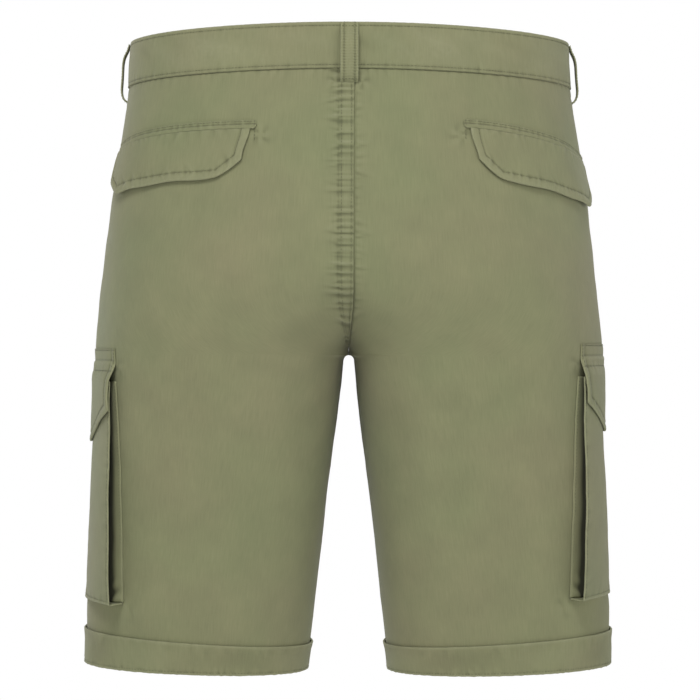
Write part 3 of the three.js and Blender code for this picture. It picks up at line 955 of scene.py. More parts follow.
@dataclass(frozen=True)
class MouldedButton:
    """Satin moulded button with a faint marbling."""

    name: str = "olive_moulding"
    dark: tuple[float, float, float, float] = (0.10, 0.105, 0.06, 1)
    pale: tuple[float, float, float, float] = (0.155, 0.158, 0.10, 1)

    def material(self) -> bpy.types.Material:
        """Makes the material.

        Returns:
            The material.
        """
        material, w, space = blank_material(self.name)
        marble = w.node("ShaderNodeTexNoise", {"Vector": space, "Scale": 160.0, "Detail": 4.0,
                                               "Distortion": 1.4})
        base = w.blend(marble.outputs["Fac"], self.dark, self.pale)
        rough = w.between(marble.outputs["Fac"], 0.3, 0.7, 0.38, 0.5)
        fine = w.node("ShaderNodeTexNoise", {"Vector": space, "Scale": 1500.0})
        bump = w.node("ShaderNodeBump", {"Height": fine.outputs["Fac"], "Strength": 0.15,
                                         "Distance": 0.05 * MM})
        shader = w.node("ShaderNodeBsdfPrincipled", {"Base Color": base, "Roughness": rough,
                                                     "Normal": bump.outputs["Normal"]})
        w.node("ShaderNodeOutputMaterial", {"Surface": shader.outputs[0]})
        return material


@dataclass(frozen=True)
class Finishes:
    """The finishes, made once for the whole garment."""

    cotton: bpy.types.Material
    thread: bpy.types.Material
    button: bpy.types.Material

    @classmethod
    def made(cls) -> "Finishes":
        """Makes each finish."""
        return cls(Cotton().material(), Thread().material(), MouldedButton().material())


def dress_cloth(node: str, cloth: ClothMesh, material: bpy.types.Material) -> None:
    """Args:
        node: The node that it stands for.
        cloth: The cloth.
        material: Its finish.
    """
    piece = cloth.make(node + "_cloth")
    piece.data.materials.append(material)
    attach(piece, "root")
    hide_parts(node)
    width, length, area = cloth.flat()
    length = max(length, SHORTEST_CUT)
    LOG.info("%s: %.0f by %.0f mm, %d faces", piece.name, width / MM, length / MM, len(piece.data.polygons))


class StitchTree:
    """Geometry nodes that set a stitch at each step along sewn lines."""

    INPUTS = (
        ("Pitch", "NodeSocketFloat"),
        ("Length", "NodeSocketFloat"),
        ("Width", "NodeSocketFloat"),
        ("Height", "NodeSocketFloat"),
        ("Seed", "NodeSocketInt"),
        ("Thread", "NodeSocketMaterial"),
    )

    def __init__(self) -> None:
        """Builds the tree."""
        self.tree = bpy.data.node_groups.new("stitch_line", "GeometryNodeTree")
        face = self.tree.interface
        face.new_socket(name="Lines", in_out="INPUT", socket_type="NodeSocketGeometry")
        self.sockets = {
            name: face.new_socket(name=name, in_out="INPUT", socket_type=kind).identifier
            for name, kind in self.INPUTS
        }
        face.new_socket(name="Stitches", in_out="OUTPUT", socket_type="NodeSocketGeometry")
        w = Wiring(self.tree)
        given = w.node("NodeGroupInput").outputs
        curve = w.node("GeometryNodeMeshToCurve", {"Mesh": given["Lines"]})
        spaced = w.node("GeometryNodeResampleCurve", {"Curve": curve.outputs[0], "Length": given["Pitch"]},
                        mode="LENGTH")
        outward = w.node("GeometryNodeInputNamedAttribute", {"Name": "outward"}, data_type="FLOAT_VECTOR")
        tangent = w.node("GeometryNodeInputTangent")
        upright = w.node("FunctionNodeAlignRotationToVector", {"Vector": outward.outputs[0]}, axis="Z")
        turned = w.node("FunctionNodeAlignRotationToVector", {"Rotation": upright.outputs[0],
                                                              "Vector": tangent.outputs[0]},
                        axis="X", pivot_axis="Z")
        size = w.node("ShaderNodeCombineXYZ", {"X": given["Length"], "Y": given["Width"],
                                               "Z": given["Height"]})
        ball = w.node("GeometryNodeMeshUVSphere", {"Segments": 6, "Rings": 4, "Radius": 0.5})
        stitch = w.node("GeometryNodeTransform", {"Geometry": ball.outputs[0], "Scale": size.outputs[0]})
        uneven = w.node("FunctionNodeRandomValue", {2: 0.85, 3: 1.12, "Seed": given["Seed"]})
        placed = w.node("GeometryNodeInstanceOnPoints", {"Points": spaced.outputs[0],
                                                         "Instance": stitch.outputs[0],
                                                         "Rotation": turned.outputs[0],
                                                         "Scale": uneven.outputs[1]})
        real = w.node("GeometryNodeRealizeInstances", {"Geometry": placed.outputs[0]})
        smooth = w.node("GeometryNodeSetShadeSmooth", {"Geometry": real.outputs[0]})
        dyed = w.node("GeometryNodeSetMaterial", {"Geometry": smooth.outputs[0], "Material": given["Thread"]})
        w.node("NodeGroupOutput", {"Stitches": dyed.outputs[0]})


@dataclass
class Stitches:
    """Rows of stitches that are sewn through one part of the garment."""

    name: str
    tree: StitchTree
    thread: bpy.types.Material
    pitch: float = 2.7
    length: float = 2.1
    width: float = 0.55
    height: float = 0.5
    seed: int = 1
    rows: list[tuple[Array, Array]] = field(default_factory=list)

    def sew(self, points: Array, outward: Array) -> None:
        """Adds a row.

        Args:
            points: Its line, on the cloth.
            outward: The outward direction at each point.
        """
        self.rows.append((points + outward * 0.1, outward))

    def build(self) -> bpy.types.Object:
        """Sets the stitches and makes them one plain mesh.

        Returns:
            The stitches.
        """
        points = np.concatenate([row for row, _ in self.rows]) * MM
        outward = np.concatenate([normal for _, normal in self.rows])
        edges, first = [], 0
        for row, _ in self.rows:
            edges += [(first + i, first + i + 1) for i in range(len(row) - 1)]
            first += len(row)
        lines = bpy.data.meshes.new(self.name + "_lines")
        lines.from_pydata(points.tolist(), edges, [])
        attribute = lines.attributes.new("outward", "FLOAT_VECTOR", "POINT")
        attribute.data.foreach_set("vector", outward.astype(np.float32).ravel())
        carrier = new_object(self.name + "_lines", lines)
        modifier = carrier.modifiers.new("stitches", "NODES")
        modifier.node_group = self.tree.tree
        values = {"Pitch": self.pitch * MM, "Length": self.length * MM, "Width": self.width * MM,
                  "Height": self.height * MM, "Seed": self.seed, "Thread": self.thread}
        for name, value in values.items():
            modifier[self.tree.sockets[name]] = value
        mesh = as_mesh(carrier)
        made = new_object(self.name, mesh)
        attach(made, "root")
        LOG.info("%s: %d rows, %d faces", self.name, len(self.rows), len(mesh.polygons))
        return made


@dataclass
class Panels:
    """The four quarters of the body, each with its half leg.

    The left back is felled over the right back at the seat seam, and the left front laps over the
    right front at the fly.
    """

    form: BodyForm
    hem_side_z: float = -491.5
    hem_inner_z: float = -496.5
    rise_rows: int = 210
    leg_rows: int = 80
    leg_crowding: float = 0.12
    nominal_width: float = 300
    fell_lap: float = 3.4
    fell_width: float = 7.2
    fell_height: float = 0.75
    fell_rows: tuple[float, float] = (6.0, -1.8)
    fell_end_z: tuple[float, float] = (-234.0, -224.0)
    recess: float = 0.95
    fly_lap: float = 6
    fly_stand: float = 2
    fly_ramp: float = 30
    fly_lap_z: tuple[float, float] = (-166.0, -145.0)
    fly_stand_z: tuple[float, float] = (-187.0, -166.0)
    fly_rows: tuple[float, float] = (33.0, 27.0)
    seat_rows_z: tuple[float, float] = (-14.0, -230.0)
    fly_rows_z: tuple[float, float] = (-43.0, -132.0)
    seam_groove: float = 0.45

    def rise_heights(self, back: bool, count: int) -> Array:
        """Heights down the rise seam, evenly spaced along it.

        Args:
            back: Whether it is the back.
            count: Number of steps.

        Returns:
            The heights, from the waist down.
        """
        form = self.form
        top = -form.band_height / 2 - HALF_GAP + (form.back_rises if back else -form.front_drops)
        z = mix(top, form.crotch_z, 1 - (1 - np.linspace(0, 1, 401)) ** 2)
        line = form.surface(1, z, (1 if back else -1) * form.girth(z, back))
        run = distances(line)
        return np.interp(np.linspace(0, run[-1], count + 1), run, z)

    def row_heights(self, back: bool) -> tuple[Array, Array]:
        """Each row's height at the side seam and at its inner edge.

        Args:
            back: Whether it is the back.

        Returns:
            The two heights, a row each.
        """
        form = self.form
        side_top = -form.band_height / 2 - HALF_GAP
        rise = np.linspace(0, 1, self.rise_rows + 1)
        t = np.linspace(0, 1, self.leg_rows + 1)[1:]
        t = t * (t + self.leg_crowding) / (1 + self.leg_crowding)
        side = np.concatenate([mix(side_top, form.crotch_z, rise), mix(form.crotch_z, self.hem_side_z, t)])
        down_rise = self.rise_heights(back, self.rise_rows)
        inner = np.concatenate([down_rise, mix(form.crotch_z, self.hem_inner_z, t)])
        return side[:, None], inner[:, None]

    def laps(self, side: Side, back: bool, z: Array) -> tuple[Array, Array]:
        """How far an edge runs past the middle at a height, and how far it stands off there.

        Args:
            side: The side.
            back: Whether it is the back.
            z: Heights.

        Returns:
            The lap and the stand-off at each height.
        """
        if side is Side.RIGHT:
            return np.zeros_like(z), np.zeros_like(z)
        if back:
            return self.fell_lap * ramp(z, *self.fell_end_z), np.zeros_like(z)
        return self.fly_lap * ramp(z, *self.fly_lap_z), self.fly_stand * ramp(z, *self.fly_stand_z)

    def spots(self, side: Side, back: bool, side_z: Array, inner_z: Array, u: Array) -> tuple[Array, ...]:
        """Places of a panel's grid.

        Args:
            side: The wearer's side.
            back: Whether it is the back.
            side_z: Each row's height at the side seam.
            inner_z: Each row's height at its inner edge.
            u: Each column's share of the way to the middle.

        Returns:
            Heights, runs from the side seam, and how far the cloth stands off at the fly.
        """
        form = self.form
        limit = form.girth(inner_z, back)
        lap, stand = self.laps(side, back, inner_z)
        share = mix(HALF_GAP, limit + lap, u) / limit
        z = mix(side_z, inner_z, swell(share))
        cap = form.girth(z, back) + np.where(lap > 0, lap, -HALF_GAP)
        run = np.minimum(share * limit, cap)
        over = ease(1 - ((1 - share) * limit) / self.fly_ramp) * stand
        return z, run, over

    def relief(self, side: Side, back: bool, z: Array, run: Array) -> tuple[Array, Array]:
        """Fine form of a panel, outside and inside.

        Args:
            side: The wearer's side.
            back: Whether it is the back.
            z: Heights.
            run: Distances from the side seam.

        Returns:
            What is added to the outer face, and to the inner one.
        """
        form = self.form
        middle = form.girth(z, back) - run
        above = ramp(z, *self.fell_end_z)
        waist = form.waist_line(-form.band_height / 2, run / form.girth(z, back), back) - z
        seed = 40 + 10 * side.value + (5 if back else 0)
        outer = -self.seam_groove * ridge(run, 0, 1.3) * ramp(z, -488, -462)
        outer = outer + Puckers(470, 8, 0.22, 1.8, 9, 0.3, seed).relief(-z, run) * ramp(run, 0, 1.5)
        outer = outer - 0.35 * ridge(waist, 0, 1.2)
        outer = outer + Puckers(260, 7.5, 0.3, 1.7, 9, 0.4, seed + 1).relief(run, waist)
        outer = outer - 0.4 * ridge(middle, 0, 1.2) * (1 - above)
        inseam = Puckers(260, 9, 0.25, 1.8, 8, 0.3, seed + 2).relief(-z - 240, middle)
        outer = outer + inseam * (z < form.crotch_z)
        inner = np.zeros_like(outer)
        if back:
            outer = outer + sum(fold.relief(side, run, middle, z) for fold in STARFOLDS)
            ridges = Puckers(235, 5.0, 1.5, 1.25, 9.5, 0.3, 71 if side is Side.LEFT else 73)
            if side is Side.LEFT:
                away = np.maximum(0, middle - self.fell_width)
                soft = mix(1, 0.6, ramp(middle, 4, -3))
                outer = outer + above * soft * ridges.relief(-z, away)
                for row in self.fell_rows:
                    outer = outer - 0.35 * above * ridge(middle, row, 0.8)
                inner = inner + 1.05 * above * ramp(middle, 6.5, 3.5)
                outer = outer - 0.45 * ridge(middle, self.fell_width + 1.2, 1.1) * above
            else:
                low = ramp(middle, 6.4, 3.8)
                outer = outer + 0.45 * above * ridges.relief(-z, np.maximum(0, middle - 3.4)) * (1 - low)
        else:
            seam = (1 - ramp(z, *self.fly_stand_z)) * ramp(z, *self.fell_end_z)
            outer = outer - 0.45 * seam * ridge(middle, 0, 1.2)
            outer = outer + 0.35 * seam * Puckers(240, 6, 0.5, 1.3, 9, 0.2, 91).relief(-z, np.abs(middle))
            if side is Side.LEFT:
                for row in self.fly_rows:
                    outer = outer - 0.22 * ridge(middle, row, 0.9) * ramp(z, -140, -128)
        return outer, inner

    def step(self, side: Side, back: bool, z: Array, run: Array) -> Array:
        """Height of the felled seam's raised side, and of the other side, which lies lower.

        Args:
            side: The side.
            back: Whether it is the back.
            z: Heights.
            run: Distances from the side seam.

        Returns:
            The height at each place.
        """
        if not back:
            return np.zeros(np.broadcast(z, run).shape)
        middle = self.form.girth(z, back) - run
        above = ramp(z, *self.fell_end_z)
        if side is Side.LEFT:
            return self.fell_height * above * ramp(middle, self.fell_width + 0.9, self.fell_width - 0.5)
        return -self.recess * above * ramp(middle, 6.4, 3.8)

    def columns(self, back: bool) -> Array:
        """Shares of the way to the middle, close together at the seams.

        Args:
            back: Whether it is the back.

        Returns:
            The shares.
        """
        if back:
            return graded(self.nominal_width, 1.15, 3.0, 5, 24)
        return graded(self.nominal_width, 1.4, 4.2, 5, 8)

    def cloth(self, side: Side, back: bool) -> ClothMesh:
        """Works out one quarter.

        Args:
            side: The side.
            back: Whether it is the back.

        Returns:
            The cloth.
        """
        form = self.form
        side_z, inner_z = self.row_heights(back)
        if not back:
            side_z, inner_z = side_z[::2], inner_z[::2]
            last_side, last_inner = self.hem_side_z, self.hem_inner_z
            side_z = np.append(side_z, last_side)[:, None] if side_z[-1, 0] != last_side else side_z
            inner_z = np.append(inner_z, last_inner)[:, None] if inner_z[-1, 0] != last_inner else inner_z
        u = self.columns(back)[None, :]
        z, run, over = self.spots(side, back, side_z, inner_z, u)
        arc = (1 if back else -1) * run
        base = form.surface(side.value, z, arc)
        normal = form.outward(side.value, z, arc)
        lap, _ = self.laps(side, back, inner_z)
        last = np.broadcast_to(u == 1, z.shape)
        seam = last & (lap == 0) & (z >= form.crotch_z)
        kept_in = side.value * np.minimum(0, side.value * normal[..., 0])
        normal[..., 0] = np.where(seam, kept_in, normal[..., 0])
        flat = (u == 0) | (last & (z < form.crotch_z))
        normal[..., 1] = np.where(flat, 0, normal[..., 1])
        normal = unit(normal)
        soft = form.softness(side.value, z, arc, base)
        outer, inner = self.relief(side, back, z, run)
        # Painted shade in the seam and stitch grooves and the pucker troughs; pucker ridges are rubbed pale.
        wear_and_shade = ridge_wear_and_trough_shade(outer)
        outer = outer + self.step(side, back, z, run)
        skin = base + normal * (soft + over + outer)[..., None]
        lining = base + normal * (soft + over - CLOTH + inner)[..., None]
        return ClothMesh(skin, lining, wear_and_shade, rim=(0.1, 0.1, 0.1, 0.5 if side is Side.LEFT else 0.1))

    def seam_line(self, side: Side, back: bool, z: Array, middle: Array) -> tuple[Array, Array]:
        """A sewn line at heights and distances from the middle, with its outward directions.

        Args:
            side: The side.
            back: Whether it is the back.
            z: Heights.
            middle: Distances from the middle.

        Returns:
            The points and the outward directions.
        """
        form = self.form
        run = form.girth(z, back) - middle
        lap, stand = self.laps(side, back, z)
        over = ease(1 - middle / self.fly_ramp) * stand
        outer, _ = self.relief(side, back, z, run)
        outer = outer + self.step(side, back, z, run)
        return form.place(side.value, z, (1 if back else -1) * run, outer + over)

    def build(self, finishes: Finishes, tree: StitchTree) -> None:
        """Makes and dresses the panels, and sews the seat seam and the fly.

        Args:
            finishes: The finishes.
            tree: The tree that sets the stitches.
        """
        for side in Side:
            for back in (True, False):
                node = f"{'back' if back else 'front'}_{side.word}"
                dress_cloth(node, self.cloth(side, back), finishes.cotton)
        seat = Stitches("seat_seam_stitches", tree, finishes.thread, seed=2)
        z = np.linspace(*self.seat_rows_z, 200)
        for row in self.fell_rows:
            seat.sew(*self.seam_line(Side.LEFT, True, z, np.full_like(z, row)))
        seat.build()
        fly = Stitches("fly_stitches", tree, finishes.thread, seed=3)
        for row in self.fly_rows:
            down = np.linspace(*self.fly_rows_z, 60)
            turn = np.linspace(0, np.pi / 2, 30)[1:]
            z = np.concatenate([down, self.fly_rows_z[1] - (row + 5) * 0.9 * np.sin(turn)])
            middle = np.concatenate([np.full_like(down, row), row * np.cos(turn)])
            fly.sew(*self.seam_line(Side.LEFT, False, z, middle))
        fly.build()


@dataclass
class Waistband:
    """One strip round the waist. Its right end lies under the fly, and its left end laps over it."""

    form: BodyForm
    proud: float = 1
    cloth_depth: float = 2.4
    underlap: float = 30
    lap: float = 6
    lap_clear: float = 0.5
    lap_ramp: float = 16
    quarter_steps: int = 185
    rows: int = 32
    top_row: float = 2.2
    bottom_row: float = 2.6

    def stops(self) -> tuple[Array, Array, Array, Array]:
        """Side, back or front, share of a quarter, and distance past the middle, along the strip.

        Returns:
            The four values at each stop.
        """
        t = np.linspace(0, 1, self.quarter_steps + 1)
        under = np.linspace(1, 0, 24)[:-1] * self.underlap
        over = np.linspace(0, 1, 6)[1:] * self.lap
        runs = (
            (-1, False, np.ones_like(under), under),
            (-1, False, 1 - t, 0 * t),
            (-1, True, t[1:], 0 * t[1:]),
            (1, True, 1 - t[1:], 0 * t[1:]),
            (1, False, t[1:], 0 * t[1:]),
            (1, False, np.ones_like(over), over),
        )
        side = np.concatenate([np.full(len(share), s) for s, _, share, _ in runs])
        back = np.concatenate([np.full(len(share), b) for _, b, share, _ in runs])
        share = np.concatenate([share for _, _, share, _ in runs])
        past = np.concatenate([past for _, _, _, past in runs])
        return side, back, share, past

    def spots(self, side: Array, back: Array, share: Array, past: Array, down: Array) -> tuple[Array, ...]:
        """Heights, arcs and stand-off of places on the band.

        Args:
            side: Sign of the wearer's side.
            back: Whether the place is at the back.
            share: Share of the way from the side seam to the middle.
            past: Distance past the middle.
            down: Distance below the top edge.

        Returns:
            Height, arc and stand-off at each place.
        """
        form = self.form
        level = form.band_height / 2 - down
        limit = form.girth(form.waist_line(level, 1, back), back)
        z = form.waist_line(level, share + past / limit, back)
        from_middle = (1 - share) * limit
        near = ease(1 - (from_middle - self.underlap) / self.lap_ramp)
        over = np.where((side > 0) & ~back, near * (self.cloth_depth + self.lap_clear), 0)
        return z, np.where(back, 1, -1) * (share * limit + past), over

    def relief(self, along: Array, down: Array) -> Array:
        """Fine form of the outer face.

        Args:
            along: Distance along the strip.
            down: Distance below its top edge.

        Returns:
            The relief at each place.
        """
        height = self.form.band_height
        total = 0.25 * np.sin(np.pi * np.clip(down / height, 0, 1))
        total = total - 0.35 * ridge(down, self.top_row, 0.8)
        total = total - 0.4 * ridge(down, height - self.bottom_row, 0.9)
        total = total + Puckers(1040, 7, 0.22, 1.6, 8, 0.5, 11).relief(along, np.abs(down - self.top_row))
        low = np.abs(down - height + self.bottom_row)
        total = total + Puckers(1040, 6.5, 0.3, 1.5, 9, 0.5, 12).relief(along, low)
        total = total + 0.22 * np.sin(along / 23 + 1.3 * np.sin(along / 61)) * np.sin(np.pi * down / height)
        return total + 0.18 * np.sin(along / 9.1 + down / 5 + 2 * np.sin(along / 37)) * ridge(down, 15, 8)

    def cloth(self) -> tuple[ClothMesh, Array]:
        """Works out the strip, and the distance along it at each column.

        Returns:
            The cloth and the distances.
        """
        side, back, share, past = self.stops()
        down = np.linspace(0, self.form.band_height - HALF_GAP, self.rows + 1)[:, None]
        z, arc, over = self.spots(side, back, share, past, down)
        middle = self.form.surface(side, z[self.rows // 2], arc[self.rows // 2])
        along = distances(middle)
        relief = self.relief(along, down)
        outer, _ = self.form.place(side, z, arc, self.proud + over + relief)
        inner, _ = self.form.place(side, z, arc, self.proud - self.cloth_depth + over)
        # Painted shade in the stitch grooves and pucker troughs; the top edge and the ridges are rubbed pale.
        wear_and_shade = ridge_wear_and_trough_shade(relief) + 0.5 * ridge(down, 0, 0.8)
        return ClothMesh(outer, inner, wear_and_shade, rim=(0.8, 0.8, 0.1, 0.8)), along

    def build(self, finishes: Finishes, tree: StitchTree) -> None:
        """Makes, dresses and sews the waistband.

        Args:
            finishes: The finishes.
            tree: The tree that sets the stitches.
        """
        cloth, along = self.cloth()
        dress_cloth("waistband", cloth, finishes.cotton)
        side, back, share, past = self.stops()
        sewn = Stitches("waistband_stitches", tree, finishes.thread, seed=4)
        for row in (self.top_row, self.form.band_height - self.bottom_row):
            z, arc, over = self.spots(side, back, share, past, np.full_like(share, row))
            lift = self.proud + over + self.relief(along, np.full_like(share, row))
            sewn.sew(*self.form.place(side, z, arc, lift))
        down = np.linspace(self.top_row, self.form.band_height - self.bottom_row, 20)
        end = np.full_like(down, self.lap - 2)
        z, arc, over = self.spots(np.full(20, 1), np.full(20, False), np.ones(20), end, down)
        lift = self.proud + over + self.relief(np.full(20, along[-1] - 2), down)
        sewn.sew(*self.form.place(1, z, arc, lift))
        sewn.build()


@dataclass(frozen=True)
class LoopPlace:
    """Where a belt loop is: its node's name, side, the seam it is counted from, and its room."""

    node: str
    side: Side
    seam: str
    arc: float
    room: float


@dataclass
class BeltLoops:
    """Folded strips sewn down at both ends, with room for a belt behind them.

    Each row of the profile is a distance below the band's top, a lift, and a share of the room.
    """

    form: BodyForm
    width: float = 13
    cloth_depth: float = 1.1
    places: tuple[LoopPlace, ...] = (
        LoopPlace("belt_loop_back", Side.LEFT, "seat", 0, 5),
        LoopPlace("belt_loop_side_left", Side.LEFT, "side", 0, 5),
        LoopPlace("belt_loop_side_right", Side.RIGHT, "side", 0, 5),
        LoopPlace("belt_loop_front_left", Side.LEFT, "fly", 62, 6.2),
        LoopPlace("belt_loop_front_right", Side.RIGHT, "fly", 62, 6.2),
    )
    profile: tuple[tuple[float, float, float], ...] = (
        (0.5, 1.4, 0),
        (5, 1.4, 0.22),
        (11, 1.2, 0.8),
        (16, 1, 1),
        (38, 1, 1),
        (43, 0.9, 0.8),
        (46, 0.5, 0.4),
        (47, 0.4, 0),
    )
    rows: int = 84
    columns: int = 14
    sewn: float = 4.2
    ribs: float = 2.3

    def side_line(self, room: float) -> tuple[Array, Array]:
        """The loop seen from its edge: its underside and its outer side, as drops and lifts.

        Args:
            room: Room for a belt behind it.

        Returns:
            The two lines.
        """
        drop, lift, share = np.array(self.profile).T
        line = np.stack([drop, lift + share * room], -1)
        run = distances(line)
        even = np.linspace(0, run[-1], self.rows + 1)
        line = np.stack([np.interp(even, run, line[:, k]) for k in (0, 1)], -1)
        for _ in range(12):
            line[1:-1] = (line[:-2] + 2 * line[1:-1] + line[2:]) / 4
        along = unit(np.gradient(line, axis=0))
        return line, line + self.cloth_depth * np.stack([-along[:, 1], along[:, 0]], -1)

    def lay(self, place: LoopPlace, line: Array, across: Array) -> tuple[Array, Array]:
        """Points of a loop from drops and lifts, rows by columns.

        Args:
            place: The loop.
            line: Drops and lifts.
            across: Distances from the loop's middle.

        Returns:
            The points and the outward directions.
        """
        form = self.form
        back = place.seam != "fly"
        level = form.girth(0.0, back)
        centre = {"side": place.arc, "seat": level, "fly": level - place.arc}[place.seam]
        z = form.waist_line(form.band_height / 2 - line[..., 0], centre / level, back)
        seam = form.girth(z, back)
        start = {"side": place.arc + 0 * z, "seat": seam, "fly": seam - place.arc}[place.seam]
        arc = (1 if back else -1) * start + across
        return form.place(place.side.value, z, arc, line[..., 1])

    def build(self, finishes: Finishes, tree: StitchTree) -> None:
        """Makes, dresses and sews the loops.

        Args:
            finishes: The finishes.
            tree: The tree that sets the stitches.
        """
        sewn = Stitches("belt_loop_stitches", tree, finishes.thread, pitch=2.4, length=1.9, seed=5)
        across = np.linspace(-0.5, 0.5, self.columns + 1)[None, :] * self.width
        for number, place in enumerate(self.places):
            under, out = self.side_line(place.room)
            run = np.arange(self.rows + 1)[:, None] * 0.6
            relief = 0.14 * np.sin(2 * np.pi * run / self.ribs + 0.5 * np.sin(across + number))
            relief = relief - 0.3 * (ridge(across, self.sewn, 0.7) + ridge(across, -self.sewn, 0.7))
            relief = relief + 0.2 * ridge(across, 0, 2.6)
            line = np.broadcast_to(out[:, None, :], (*relief.shape, 2)).copy()
            line[..., 1] += relief
            outer, _ = self.lay(place, line, across)
            inner, _ = self.lay(place, np.broadcast_to(under[:, None, :], line.shape), across)
            # Painted shade in the sewn grooves and rib troughs; the edges and ribs are rubbed pale.
            wear_and_shade = 1.5 * ridge_wear_and_trough_shade(relief) + 0.4 * ridge(np.abs(across), self.width / 2, 1)
            cloth = ClothMesh(outer, inner, wear_and_shade, rim=(0.7, 0.9, 0.7, 0.9))
            dress_cloth(place.node, cloth, finishes.cotton)
            for x in (-self.sewn, self.sewn):
                row = out.copy()
                row[:, 1] -= 0.15
                sewn.sew(*self.lay(place, row, np.full(len(row), x)))
            for k in (5, self.rows - 6):
                row = np.tile(out[k], (12, 1))
                row[:, 1] += 0.1
                sewn.sew(*self.lay(place, row, np.linspace(-5, 5, 12)))
        sewn.build()


@dataclass(frozen=True)
class FlapOutline:
    """The outline of a flap whose two lower corners are cut off. y is measured down."""

    width: float
    height: float
    cut_wide: float
    cut_high: float
    softness: float = 2.0
    top_round: float = 0.0

    def rise(self, x: Array) -> Array:
        """How far the rounded upper corners fall below the top at a distance from the first end."""
        far = np.clip(self.top_round - np.minimum(x, self.width - x), 0, self.top_round)
        return self.top_round - np.sqrt(self.top_round**2 - far**2)

    def drop(self, x: Array) -> Array:
        """Height of the flap at a distance from its first end, with its corners eased.

        Args:
            x: Distances along it.

        Returns:
            The height at each distance.
        """
        edge = np.minimum(x, self.width - x)
        line = self.height - self.cut_high * (1 - edge / self.cut_wide)
        s = self.softness
        return -s * np.logaddexp(-line / s, -self.height / s) + 0 * edge

    def edge_distance(self, x: Array, y: Array) -> Array:
        """Distance from the nearest free edge.

        Args:
            x: Distances along it.
            y: Distances down it.

        Returns:
            The distance at each place.
        """
        edge = np.minimum(x, self.width - x)
        long = math.hypot(self.cut_wide, self.cut_high)
        cut = (edge * self.cut_high - (y - self.height + self.cut_high) * self.cut_wide) / long
        return np.minimum(np.minimum(edge, self.height - y), cut)

    def inset_line(self, inset: float, top: float) -> tuple[Array, Array]:
        """A sewn line at a constant distance inside the free edges, from one top end to the other.

        Args:
            inset: The distance.
            top: Where the line starts, below the top edge.

        Returns:
            The line's x and y.
        """
        long = math.hypot(self.cut_wide, self.cut_high)
        low = self.height - self.cut_high + (inset * self.cut_high - inset * long) / self.cut_wide
        near = (inset * long + (self.cut_high - inset) * self.cut_wide) / self.cut_high
        x = np.array([inset, inset, near, self.width - near, self.width - inset, self.width - inset])
        y = np.array([top, low, self.height - inset, self.height - inset, low, top])
        run = distances(np.stack([x, y], -1))
        even = np.linspace(0, run[-1], int(run[-1] / 1.5))
        return np.interp(even, run, x), np.interp(even, run, y)


@dataclass(frozen=True)
class BackPocketPlace:
    """A back pocket: its flap's distance from the seat seam, its top's height, and how it droops."""

    side: Side
    inner: float
    top: float
    droop: float
    bend: float


